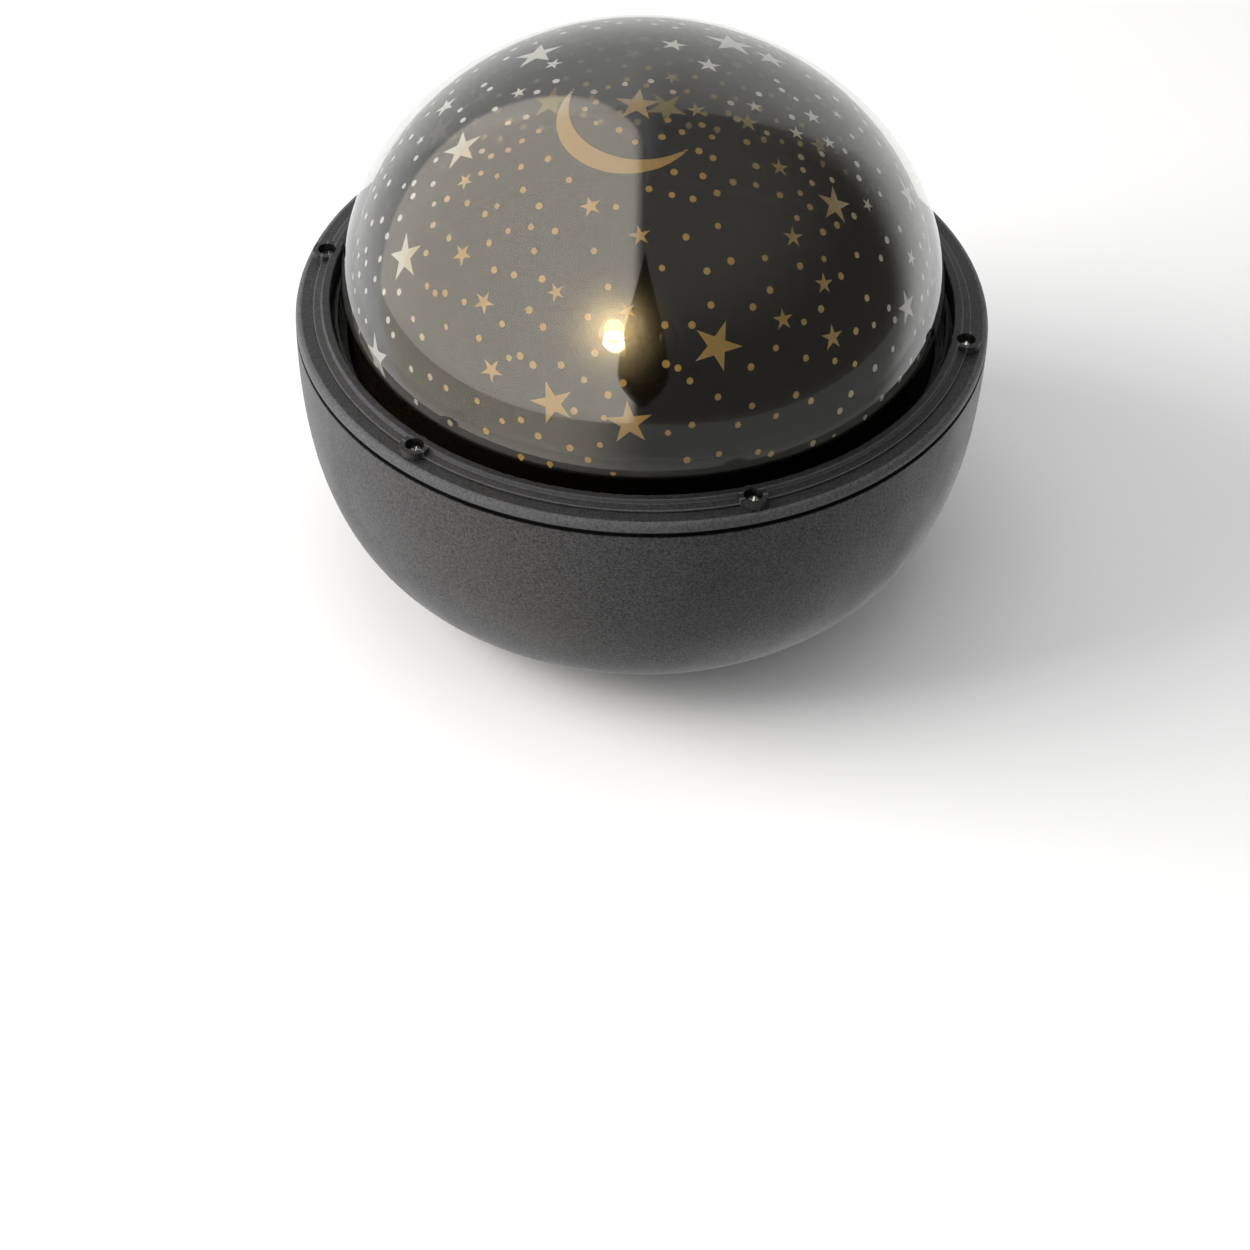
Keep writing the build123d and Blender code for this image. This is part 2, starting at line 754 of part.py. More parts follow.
with BuildPart() as deck_plate:
    add_cylinder(deck_radius, deck_bottom, deck_top)
    add_cylinder(hub_tube_radius, deck_top, tube_top)
    add_cylinder(tube_lower_bore_radius, deck_bottom, tube_top, mode=Mode.SUBTRACT)
    add_cylinder(tube_bore_radius, lamp_seat, tube_top, mode=Mode.SUBTRACT)
    add_cylinder(
        shaft_boss_radius + shaft_boss_clearance,
        deck_bottom,
        deck_top,
        [(0, shaft_y)],
        mode=Mode.SUBTRACT,
    )
    add_cylinder(
        deck_screw.shank_radius + screw_clearance,
        deck_bottom,
        deck_top,
        deck_post_places,
        mode=Mode.SUBTRACT,
    )
    add_cylinder(
        motor_screw.shank_radius + screw_clearance,
        deck_bottom,
        deck_top,
        motor_screw_places,
        mode=Mode.SUBTRACT,
    )
deck_plate.part.label = "deck_plate"
export_step(deck_plate.part, "parts/deck_plate.step")

with BuildPart() as deck_screws:
    add_screws(deck_screw, seats_up(deck_post_places, deck_top))
deck_screws.part.label = "deck_screws"
export_step(deck_screws.part, "parts/deck_screws.step")

# ---------------------------------------------------------------- lamp

with BuildPart() as lamp_board:
    add_cylinder(tube_bore_radius - lamp_board_clearance, lamp_seat, lamp_board_top)
lamp_board.part.label = "lamp_board"
export_step(lamp_board.part, "parts/lamp_board.step")

with BuildPart() as lamp_retainer:
    add_ring(
        tube_bore_radius - retainer_clearance,
        tube_bore_radius - retainer_clearance - retainer_wall,
        lamp_board_top,
        tube_top,
    )
    add_ring(
        hub_tube_radius + retainer_flange_width,
        tube_bore_radius - retainer_clearance - retainer_wall,
        tube_top,
        tube_top + retainer_flange_thickness,
    )
lamp_retainer.part.label = "lamp_retainer"
export_step(lamp_retainer.part, "parts/lamp_retainer.step")


def add_bulb(place):
    """Add one round-nosed diode with the flat rim at its foot, standing on the lamp board."""
    nose = lamp_board_top + bulb_height - bulb_radius
    add_cylinder(bulb_flange_radius, lamp_board_top, lamp_board_top + bulb_flange_height, [place])
    add_cylinder(bulb_radius, lamp_board_top, nose, [place])
    with Locations((place[0], place[1], nose)):
        Sphere(bulb_radius)


bulb_places = on_circle(bulb_circle_radius, bulb_count)

with BuildPart() as red_bulb:
    add_bulb(bulb_places[0])
red_bulb.part.label = "red_bulb"
export_step(red_bulb.part, "parts/red_bulb.step")

with BuildPart() as blue_bulb:
    add_bulb(bulb_places[1])
blue_bulb.part.label = "blue_bulb"
export_step(blue_bulb.part, "parts/blue_bulb.step")

with BuildPart() as warm_bulb:
    add_bulb(bulb_places[2])
warm_bulb.part.label = "warm_bulb"
export_step(warm_bulb.part, "parts/warm_bulb.step")

with BuildPart() as green_bulb:
    add_bulb(bulb_places[3])
green_bulb.part.label = "green_bulb"
export_step(green_bulb.part, "parts/green_bulb.step")

# ---------------------------------------------------------------- motor and pinion

shaft_bottom = deck_bottom - shaft_bore_depth
motor_place = [(0, motor_y)]
shaft_place = [(0, shaft_y)]

with BuildPart() as gearbox_case:
    add_cylinder(gearbox_radius, gearbox_bottom, deck_bottom, motor_place)
    add_cylinder(shaft_boss_radius, deck_bottom, deck_bottom + shaft_boss_height, shaft_place)
    add_cylinder(
        motor_shaft_radius + running_clearance,
        shaft_bottom,
        deck_bottom + shaft_boss_height,
        shaft_place,
        mode=Mode.SUBTRACT,
    )
    add_cylinder(
        motor_screw.shank_radius + thread_clearance,
        deck_top - motor_screw.length - thread_end_gap,
        deck_bottom,
        motor_screw_places,
        mode=Mode.SUBTRACT,
    )
gearbox_case.part.label = "gearbox_case"
export_step(gearbox_case.part, "parts/gearbox_case.step")

with BuildPart() as motor_can:
    add_cylinder(motor_radius, motor_bottom, gearbox_bottom, motor_place)
    chamfer(motor_can.edges().group_by(Axis.Z)[0], motor_edge_chamfer)
motor_can.part.label = "motor_can"
export_step(motor_can.part, "parts/motor_can.step")

with BuildPart() as motor_screws:
    add_screws(motor_screw, seats_up(motor_screw_places, deck_top))
motor_screws.part.label = "motor_screws"
export_step(motor_screws.part, "parts/motor_screws.step")

with BuildPart() as motor_shaft:
    add_cylinder(motor_shaft_radius, shaft_bottom + end_float, pinion_top, shaft_place)
motor_shaft.part.label = "motor_shaft"
export_step(motor_shaft.part, "parts/motor_shaft.step")

with BuildPart() as drive_pinion:
    with BuildSketch(Plane.XY.offset(pinion_bottom)):
        add_gear_outline(pinion_teeth, centre=(0, shaft_y), turn=180 / pinion_teeth)
    extrude(amount=pinion_face)
    add_cylinder(pinion_hub_radius, pinion_bottom - pinion_hub_length, pinion_bottom, shaft_place)
    add_cylinder(
        motor_shaft_radius,
        pinion_bottom - pinion_hub_length,
        pinion_top,
        shaft_place,
        mode=Mode.SUBTRACT,
    )
drive_pinion.part.label = "drive_pinion"
export_step(drive_pinion.part, "parts/drive_pinion.step")

# ---------------------------------------------------------------- battery box, cells and door

with BuildPart() as battery_box:
    add_block(2 * box_half_width, 2 * box_half_length, floor_height, box_top)
    add_cylinder(door_boss_radius, floor_height, floor_height + door_boss_height, door_screw_places)
    add_block(
        2 * door_boss_radius,
        door_screw_y - box_half_length + box_wall,
        floor_height,
        floor_height + door_boss_height,
        [(0, side * (door_screw_y + box_half_length - box_wall) / 2) for side in (-1, 1)],
    )
    add_block(
        2 * cavity_half_width,
        2 * cavity_half_length,
        floor_height,
        box_inner_top,
        mode=Mode.SUBTRACT,
    )
    add_block(box_lug_size, box_lug_size, lug_bottom, lug_top, box_lug_places)
    add_cylinder(standoff_radius, box_top, main_board_bottom, standoff_places)
    add_cylinder(
        board_screw.shank_radius + thread_clearance,
        main_board_top - board_screw.length - thread_end_gap,
        main_board_bottom,
        standoff_places,
        mode=Mode.SUBTRACT,
    )
    add_cylinder(
        box_screw.shank_radius + screw_clearance, lug_bottom, lug_top, box_lug_places, mode=Mode.SUBTRACT
    )
    add_cylinder(
        door_screw.shank_radius + thread_clearance,
        floor_height,
        floor_height + door_boss_height - door_boss_roof,
        door_screw_places,
        mode=Mode.SUBTRACT,
    )
battery_box.part.label = "battery_box"
export_step(battery_box.part, "parts/battery_box.step")

with BuildPart() as box_screws:
    add_screws(box_screw, seats_up(box_lug_places, lug_top))
box_screws.part.label = "box_screws"
export_step(box_screws.part, "parts/box_screws.step")

# Cells lie along Y, side by side and head to tail; each cell's nub meets a contact plate.
cell_ends = [(-1) ** k for k in range(cell_count)]   # +1: the nub points along -Y
nub_face_y = cavity_half_length - contact_thickness

with BuildPart() as battery_cells:
    for x, side in zip(cell_columns, cell_ends):
        with BuildSketch(Plane.XZ.offset(side * (nub_face_y - cell_nub_length))):
            with Locations((x, cell_height)):
                Circle(cell_radius)
        extrude(amount=-side * (cell_length - cell_nub_length))
        with BuildSketch(Plane.XZ.offset(side * (nub_face_y - cell_nub_length))):
            with Locations((x, cell_height)):
                Circle(cell_nub_radius)
        extrude(amount=side * cell_nub_length)
battery_cells.part.label = "battery_cells"
export_step(battery_cells.part, "parts/battery_cells.step")

spring_turns = 3
spring_coil_height = spring_length - 2 * spring_wire_radius

with BuildPart() as battery_springs:
    for x, side in zip(cell_columns, cell_ends):
        with BuildLine() as coil:
            Helix(
                spring_coil_height / spring_turns,
                spring_coil_height,
                spring_radius,
                center=(x, side * (nub_face_y - spring_wire_radius), cell_height),
                direction=(0, -side, 0),
            )
        coil_start = coil.wires()[0] @ 0
        coil_heading = coil.wires()[0] % 0
        with BuildSketch(Plane(origin=coil_start, z_dir=coil_heading)):
            Circle(spring_wire_radius)
        sweep(path=coil.wires()[0])
battery_springs.part.label = "battery_springs"
export_step(battery_springs.part, "parts/battery_springs.step")

# Contact plates link the cells in series: a single plate and a bridge at each end.
with BuildPart() as contact_plates:
    for side in (-1, 1):
        bridge_x = side * -cell_pitch / 2
        single_x = side * cell_pitch
        for x, width in ((bridge_x, cell_pitch + contact_width), (single_x, contact_width)):
            with Locations((x, side * (cavity_half_length - contact_thickness / 2), cell_height)):
                Box(width, contact_thickness, contact_height)
contact_plates.part.label = "contact_plates"
export_step(contact_plates.part, "parts/contact_plates.step")

with BuildPart() as battery_door:
    with BuildSketch(Plane.XY.offset(foot_height)):
        RectangleRounded(door_width, door_length, door_corner_radius)
    extrude(amount=bowl_floor)
    add_cylinder(
        door_screw.head_radius + screw_clearance,
        foot_height,
        foot_height + door_head_sink,
        door_screw_places,
        mode=Mode.SUBTRACT,
    )
    add_cylinder(
        door_screw.shank_radius + screw_clearance,
        foot_height,
        floor_height,
        door_screw_places,
        mode=Mode.SUBTRACT,
    )
battery_door.part.label = "battery_door"
export_step(battery_door.part, "parts/battery_door.step")

with BuildPart() as door_screws:
    add_screws(door_screw, seats_down(door_screw_places, foot_height + door_head_sink))
door_screws.part.label = "door_screws"
export_step(door_screws.part, "parts/door_screws.step")

# ---------------------------------------------------------------- main board

connector_places = {
    "motor": (0.0, main_board_centre_y - main_board_length / 2 + connector_inset),
    "lamp": (0.0, main_board_centre_y + lamp_connector_offset),
    "switch": (0.0, main_board_centre_y + main_board_length / 2 - connector_inset),
    "battery": (battery_connector_x, main_board_centre_y + battery_connector_offset),
}

with BuildPart() as main_board:
    add_block(
        main_board_width,
        main_board_length,
        main_board_bottom,
        main_board_top,
        [(0, main_board_centre_y)],
    )
    add_cylinder(
        board_screw.shank_radius + screw_clearance,
        main_board_bottom,
        main_board_top,
        standoff_places,
        mode=Mode.SUBTRACT,
    )
main_board.part.label = "main_board"
export_step(main_board.part, "parts/main_board.step")

with BuildPart() as board_screws:
    add_screws(board_screw, seats_up(standoff_places, main_board_top))
board_screws.part.label = "board_screws"
export_step(board_screws.part, "parts/board_screws.step")

with BuildPart() as board_connectors:
    add_block(
        connector_width, connector_depth, main_board_top, connector_top, list(connector_places.values())
    )
board_connectors.part.label = "board_connectors"
export_step(board_connectors.part, "parts/board_connectors.step")

with BuildPart() as controller_chip:
    add_block(
        chip_size,
        chip_size,
        main_board_top,
        main_board_top + chip_height,
        [(chip_x, main_board_centre_y - chip_offset)],
    )
controller_chip.part.label = "controller_chip"
export_step(controller_chip.part, "parts/controller_chip.step")

capacitor_places = [(capacitor_x, main_board_centre_y + k * capacitor_spacing) for k in (-0.5, 0.5)]

with BuildPart() as capacitors:
    add_cylinder(
        capacitor_radius, main_board_top, main_board_top + capacitor_height, capacitor_places
    )
    fillet(capacitors.edges().group_by(Axis.Z)[-1], capacitor_edge_round)
capacitors.part.label = "capacitors"
export_step(capacitors.part, "parts/capacitors.step")

# ---------------------------------------------------------------- buttons and their switch board

switch_centres = [(x, button_height) for x in button_columns]
plunger_end_y = switch_front_y - plunger_reach

with BuildPart() as switch_board:
    with BuildSketch(Plane.XZ.offset(-switch_board_back_y)):
        with Locations((0, button_height)):
            Rectangle(switch_board_width, switch_board_height)
        with Locations(*[(x, button_height) for x in switch_post_columns]):
            Circle(board_screw.shank_radius + screw_clearance, mode=Mode.SUBTRACT)
    extrude(amount=-board_thickness)
switch_board.part.label = "switch_board"
export_step(switch_board.part, "parts/switch_board.step")

with BuildPart() as switch_screws:
    add_screws(
        board_screw,
        [Location((x, switch_board_back_y, button_height), (90, 0, 0)) for x in switch_post_columns],
    )
switch_screws.part.label = "switch_screws"
export_step(switch_screws.part, "parts/switch_screws.step")

with BuildPart() as tact_switches:
    with BuildSketch(Plane.XZ.offset(-switch_back_y)):
        with Locations(*switch_centres):
            Rectangle(switch_size, switch_size)
    extrude(amount=-switch_depth)
    socket_bottom_y = plunger_end_y - button_travel - plunger_clearance
    for x in button_columns:
        add_peg(
            x, plunger_radius + plunger_clearance, socket_bottom_y, switch_front_y, mode=Mode.SUBTRACT
        )
tact_switches.part.label = "tact_switches"
export_step(tact_switches.part, "parts/tact_switches.step")


def add_button(x):
    """Add one round button: the cap that fills its hole and the flange that keeps it in."""
    cap_front_y = sqrt(button_surface_radius ** 2 - x ** 2) + button_stand_out
    add_peg(x, button_flange_radius, flange_back_y, flange_front_y)
    add_peg(x, button_radius, flange_front_y, cap_front_y)


def add_plunger(x):
    """Add one switch plunger, from inside its switch to the button's flange."""
    add_peg(x, plunger_radius, plunger_end_y, flange_back_y)


with BuildPart() as light_button:
    add_button(button_columns[0])
    fillet(light_button.edges().group_by(Axis.Y)[-1], button_edge_round)
light_button.part.label = "light_button"
export_step(light_button.part, "parts/light_button.step")

with BuildPart() as colour_button:
    add_button(button_columns[1])
    fillet(colour_button.edges().group_by(Axis.Y)[-1], button_edge_round)
colour_button.part.label = "colour_button"
export_step(colour_button.part, "parts/colour_button.step")

with BuildPart() as spin_button:
    add_button(button_columns[2])
    fillet(spin_button.edges().group_by(Axis.Y)[-1], button_edge_round)
spin_button.part.label = "spin_button"
export_step(spin_button.part, "parts/spin_button.step")

with BuildPart() as light_plunger:
    add_plunger(button_columns[0])
light_plunger.part.label = "light_plunger"
export_step(light_plunger.part, "parts/light_plunger.step")

with BuildPart() as colour_plunger:
    add_plunger(button_columns[1])
colour_plunger.part.label = "colour_plunger"
export_step(colour_plunger.part, "parts/colour_plunger.step")

with BuildPart() as spin_plunger:
    add_plunger(button_columns[2])
spin_plunger.part.label = "spin_plunger"
export_step(spin_plunger.part, "parts/spin_plunger.step")

# ---------------------------------------------------------------- leads inside the base

pair = (-lead_half_spacing, lead_half_spacing)
lamp_y = connector_places["lamp"][1]
motor_lead_y = connector_places["motor"][1]
can_side_y = motor_y + motor_radius
motor_terminal_z = motor_bottom + motor_terminal_height
switch_lead_y = connector_places["switch"][1]
battery_x, battery_lead_y = connector_places["battery"]

with BuildPart() as lamp_leads:
    for x in pair:
        add_lead([
            (x, lamp_y, connector_top),
            (x, lamp_y, connector_top + lamp_lead_exit),
            (x, 0, connector_top + lamp_lead_rise),
            (x, 0, lamp_seat),
        ])
lamp_leads.part.label = "lamp_leads"
export_step(lamp_leads.part, "parts/lamp_leads.step")

with BuildPart() as motor_leads:
    for x in pair:
        add_lead([
            (x, can_side_y, motor_terminal_z),
            (x, can_side_y + motor_lead_exit, motor_terminal_z),
            (x, can_side_y + motor_lead_reach, connector_lead_height),
            (x, motor_lead_y - connector_depth / 2, connector_lead_height),
        ])
motor_leads.part.label = "motor_leads"
export_step(motor_leads.part, "parts/motor_leads.step")

with BuildPart() as switch_leads:
    for x in pair:
        add_lead([
            (x, switch_lead_y + connector_depth / 2, connector_lead_height),
            (x, switch_lead_y + switch_lead_reaches[0], connector_lead_height),
            (x, switch_lead_y + switch_lead_reaches[1], button_height),
            (x, switch_board_back_y, button_height),
        ])
switch_leads.part.label = "switch_leads"
export_step(switch_leads.part, "parts/switch_leads.step")

with BuildPart() as battery_leads:
    for x in pair:
        add_lead([
            (battery_x + x, box_half_length, cell_height + battery_lead_start),
            (battery_x + x, box_half_length + lead_exit, cell_height + battery_lead_start),
            (battery_x + x, box_half_length + battery_lead_reach, cell_height + battery_lead_bend),
            (battery_x + x, box_half_length + lead_exit, connector_lead_height + lead_half_spacing),
            (battery_x + x, battery_lead_y + battery_lead_entry, connector_lead_height),
            (battery_x + x, battery_lead_y + connector_depth / 2, connector_lead_height),
        ])
battery_leads.part.label = "battery_leads"
export_step(battery_leads.part, "parts/battery_leads.step")
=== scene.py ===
"""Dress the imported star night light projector: its printed star dome, finishes, studio and camera.

Metres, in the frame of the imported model: the table is z = 0, the star dome turns about Z, the buttons
are on +Y and the lit lamp stands on -X of that axis.
"""

import logging
import math
from dataclasses import dataclass, field
from enum import Enum
from typing import Iterable, Sequence

import bpy
import numpy as np
from mathutils import Matrix, Vector


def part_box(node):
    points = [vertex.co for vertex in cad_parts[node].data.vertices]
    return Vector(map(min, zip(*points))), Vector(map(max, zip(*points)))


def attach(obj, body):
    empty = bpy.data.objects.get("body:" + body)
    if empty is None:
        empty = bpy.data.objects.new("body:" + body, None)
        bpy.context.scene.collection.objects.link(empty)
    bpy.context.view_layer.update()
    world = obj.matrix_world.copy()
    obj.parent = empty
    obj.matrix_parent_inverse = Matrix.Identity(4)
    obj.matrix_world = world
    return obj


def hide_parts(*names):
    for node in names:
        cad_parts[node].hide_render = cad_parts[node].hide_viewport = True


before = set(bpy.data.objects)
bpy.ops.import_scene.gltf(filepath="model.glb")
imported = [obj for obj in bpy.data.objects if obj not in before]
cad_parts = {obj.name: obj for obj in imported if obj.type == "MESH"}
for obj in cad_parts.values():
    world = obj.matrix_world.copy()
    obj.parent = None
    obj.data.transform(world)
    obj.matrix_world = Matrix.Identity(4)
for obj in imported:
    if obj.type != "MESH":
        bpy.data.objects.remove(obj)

logging.basicConfig(level=logging.INFO, format="%(message)s")
LOG = logging.getLogger("star_projector")

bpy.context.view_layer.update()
MM = 0.001
WHITE = (1.0, 1.0, 1.0, 1.0)
BLACK = (0.0, 0.0, 0.0, 1.0)

Rgba = tuple[float, float, float, float]
Socket = bpy.types.NodeSocket


class Body(str, Enum):
    """The moving bodies that a piece can ride on."""

    BASE = "base"
    STARS = "star_carrier"
    DOOR = "door"
    LIGHT_KEY = "light_key"
    COLOUR_KEY = "colour_key"
    SPIN_KEY = "spin_key"


# ---------------------------------------------------------------- small tools


def rgba(red: float, green: float, blue: float) -> Rgba:
    """An opaque linear colour."""
    return (red, green, blue, 1.0)


def grey(level: float) -> Rgba:
    """An opaque grey."""
    return rgba(level, level, level)


def scaled(colour: Sequence[float], share: float) -> Rgba:
    """A colour made darker or lighter by a share, still opaque."""
    return (colour[0] * share, colour[1] * share, colour[2] * share, 1.0)


class Graph:
    """A node tree with short calls that add, set and join its nodes."""

    def __init__(self, name: str, world: bool = False) -> None:
        """Start an empty tree.

        Args:
            name: The name of the material or world.
            world: True for a world, False for a material.
        """
        store = bpy.data.worlds if world else bpy.data.materials
        self.owner = store.new(name)
        self.owner.use_nodes = True
        self.tree = self.owner.node_tree
        self.tree.nodes.clear()
        self.output = self.tree.nodes.new("ShaderNodeOutputWorld" if world else "ShaderNodeOutputMaterial")

    def feed(self, socket: Socket, value: object) -> None:
        """Join a socket to another one, or set its plain value.

        Args:
            socket: The input.
            value: An output socket, a number or a tuple.
        """
        if isinstance(value, Socket):
            self.tree.links.new(value, socket)
        elif value is not None:
            socket.default_value = value

    def add(self, kind: str, inputs: dict | None = None, **settings: object) -> bpy.types.Node:
        """Add one node.

        Args:
            kind: The node's type without its "ShaderNode" part.
            inputs: Values or sockets by the input's name or place.
            settings: The node's own settings.

        Returns:
            The node.
        """
        node = self.tree.nodes.new("ShaderNode" + kind)
        for key, value in settings.items():
            setattr(node, key, value)
        for key, value in (inputs or {}).items():
            self.feed(node.inputs[key], value)
        return node

    def math(self, operation: str, *values: object, clamp: bool = False) -> Socket:
        """The result of a Math node on up to three values."""
        node = self.add("Math", dict(enumerate(values)), operation=operation, use_clamp=clamp)
        return node.outputs[0]

    def mix(self, share: object, first: object, second: object) -> Socket:
        """A colour between two.

        Args:
            share: 0 for the first colour, 1 for the second.
            first: A colour or its socket.
            second: A colour or its socket.

        Returns:
            The colour.
        """
        node = self.add("Mix", data_type="RGBA")
        for socket, value in zip((node.inputs[0], node.inputs[6], node.inputs[7]), (share, first, second)):
            self.feed(socket, value)
        return node.outputs[2]

    def minus(self, first: object, second: object) -> Socket:
        """The first value less the second."""
        return self.math("SUBTRACT", first, second)

    def times(self, first: object, *others: object) -> Socket:
        """The product of two or more values.

        Args:
            first: A number or a socket.
            others: The values that it is multiplied by.

        Returns:
            The product.
        """
        for other in others:
            first = self.math("MULTIPLY", first, other)
        return first

    def changed(self, share: object, change: float) -> Socket:
        """A factor that is 1 where the share is 0, and 1 plus the change where it is 1."""
        return self.math("MULTIPLY_ADD", share, change, 1.0)

    def far(self, x: object, y: object) -> Socket:
        """The length of a flat vector: the root of x squared plus y squared."""
        return self.math("SQRT", self.math("ADD", self.times(x, x), self.times(y, y)))

    def folded(self, x: object, y: object, pitch: float) -> Socket:
        """The angle of a flat vector from the middle of its own sector, for sectors of one pitch."""
        turned = self.math("ADD", self.math("ARCTAN2", y, x), pitch / 2 + 2 * math.pi)
        return self.minus(self.math("MODULO", turned, pitch), pitch / 2)

    def place(self) -> Socket:
        """The object's own coordinates."""
        return self.add("TexCoord").outputs["Object"]

    def parts(self, vector: object) -> tuple[Socket, Socket, Socket]:
        """The three parts of a vector."""
        outputs = self.add("SeparateXYZ", {0: vector}).outputs
        return outputs["X"], outputs["Y"], outputs["Z"]

    def length(self, vector: object) -> Socket:
        """The length of a vector."""
        return self.add("VectorMath", {0: vector}, operation="LENGTH").outputs["Value"]

    def grey(self, value: object) -> Socket:
        """A grey of this value."""
        return self.add("CombineColor", {part: value for part in range(3)}).outputs[0]

    def facing(self) -> Socket:
        """How far the surface turns away from the eye: 0 seen straight on, 1 at a grazing angle."""
        return self.add("LayerWeight", {0: 0.5}).outputs["Facing"]

    def clear(self, tint: Rgba = WHITE) -> Socket:
        """A see-through shader."""
        return self.add("BsdfTransparent", {0: tint}).outputs[0]

    def matte(self, colour: object) -> Socket:
        """A matte shader."""
        return self.add("BsdfDiffuse", {0: colour}).outputs[0]

    def gloss(self, colour: object, roughness: object) -> Socket:
        """A mirroring shader."""
        return self.add("BsdfGlossy", {"Color": colour, "Roughness": roughness}).outputs[0]

    def ramp(self, value: object, low: float, high: float, start: float = 0.0, end: float = 1.0) -> Socket:
        """A value carried smoothly from one range to another and held at its ends."""
        inputs = {0: value, 1: low, 2: high, 3: start, 4: end}
        return self.add("MapRange", inputs, interpolation_type="SMOOTHSTEP").outputs[0]

    def rise(self, value: object, edge: float, width: float) -> Socket:
        """0 up to an edge and 1 past it, over a width."""
        return self.ramp(value, edge, edge + width)

    def fall(self, value: object, edge: float, width: float) -> Socket:
        """1 up to an edge and 0 past it, over a width."""
        return self.ramp(value, edge, edge + width, 1.0, 0.0)

    def noise(self, scale: float, detail: float = 2.0, roughness: float = 0.5) -> Socket:
        """Grey noise in the object's own coordinates, with this many cells a metre."""
        inputs = {"Vector": self.place(), "Scale": scale, "Detail": detail, "Roughness": roughness}
        return self.add("TexNoise", inputs).outputs[0]

    def bump(self, height: object, distance: float, strength: float = 1.0) -> Socket:
        """A bumped normal from a height, over a depth in metres."""
        return self.add("Bump", {"Height": height, "Distance": distance, "Strength": strength}).outputs[0]

    def principled(self, **inputs: object) -> bpy.types.Node:
        """A Principled shader.

        Args:
            inputs: Values or sockets by the input's name, with underscores for its spaces.

        Returns:
            The node.
        """
        node = self.add("BsdfPrincipled")
        for key, value in inputs.items():
            self.feed(node.inputs[key.replace("_", " ")], value)
        return node

    def thin_gloss(self, straight: float, grazing: float = 1.0, bend: float = 5.0) -> Socket:
        """The share that a thin clear wall mirrors: its least value plus a power of how far it turns away.

        Args:
            straight: The share mirrored by a wall seen straight on.
            grazing: The share mirrored at a grazing angle.
            bend: The power, 5 for a plain wall.

        Returns:
            The share.
        """
        share = self.math("POWER", self.facing(), bend)
        return self.math("MULTIPLY_ADD", share, grazing - straight, straight)

    def painted_halo(self, middle: Sequence[float], reach: float, strength: float) -> Socket:
        """A painted glow round a lit lamp, as an emission strength: strength / (1 + (distance / reach)^2)^2.

        Args:
            middle: The lamp's place in metres.
            reach: The distance at which a quarter is left.
            strength: The strength at the lamp.

        Returns:
            The strength of the painted glow.
        """
        inputs = {0: self.place(), 1: tuple(middle)}
        away = self.add("VectorMath", inputs, operation="DISTANCE").outputs["Value"]
        share = self.math("DIVIDE", away, reach)
        fall = self.math("POWER", self.math("MULTIPLY_ADD", share, share, 1.0), 2.0)
        return self.math("DIVIDE", strength, fall)

    def blend(self, share: object, first: object, second: object) -> Socket:
        """A shader between two, by a share from 0 to 1."""
        return self.add("MixShader", {0: share, 1: first, 2: second}).outputs[0]

    def finish(self, surface: Socket) -> bpy.types.ID:
        """Join the surface to the output and hand back the material or world."""
        self.feed(self.output.inputs["Surface"], surface)
        return self.owner


# ---------------------------------------------------------------- finishes


@dataclass(frozen=True)
class Moulded:
    """Moulded plastic or rubber: fine spark-eroded grain and a faint cloudy tone."""

    name: str
    colour: Rgba
    roughness: float = 0.5
    grain: float = 2600.0
    grain_depth: float = 0.00004
    speckle: float = 0.25
    cloud: float = 0.10
    specular: float = 0.5

    def build(self) -> bpy.types.Material:
        """Build the material.

        Returns:
            A Principled material with grain in its colour, roughness and bump.
        """
        g = Graph(self.name)
        fine = g.noise(self.grain, 3.0, 0.65)
        cloudy = g.noise(38.0, 3.0, 0.55)
        speckle = g.ramp(fine, 0.32, 0.68, 1 - self.speckle, 1 + self.speckle)
        tone = g.math("ADD", speckle, g.ramp(cloudy, 0.3, 0.7, -self.cloud, self.cloud))
        dark, light = scaled(self.colour, 0.55), scaled(self.colour, 1.45)
        shader = g.principled(
            Base_Color=g.mix(g.ramp(tone, 0.55, 1.45), dark, light),
            Roughness=g.ramp(cloudy, 0.35, 0.65, self.roughness - 0.05, self.roughness + 0.05),
            Specular_IOR_Level=self.specular,
            Normal=g.bump(fine, self.grain_depth),
        )
        return g.finish(shader.outputs[0])


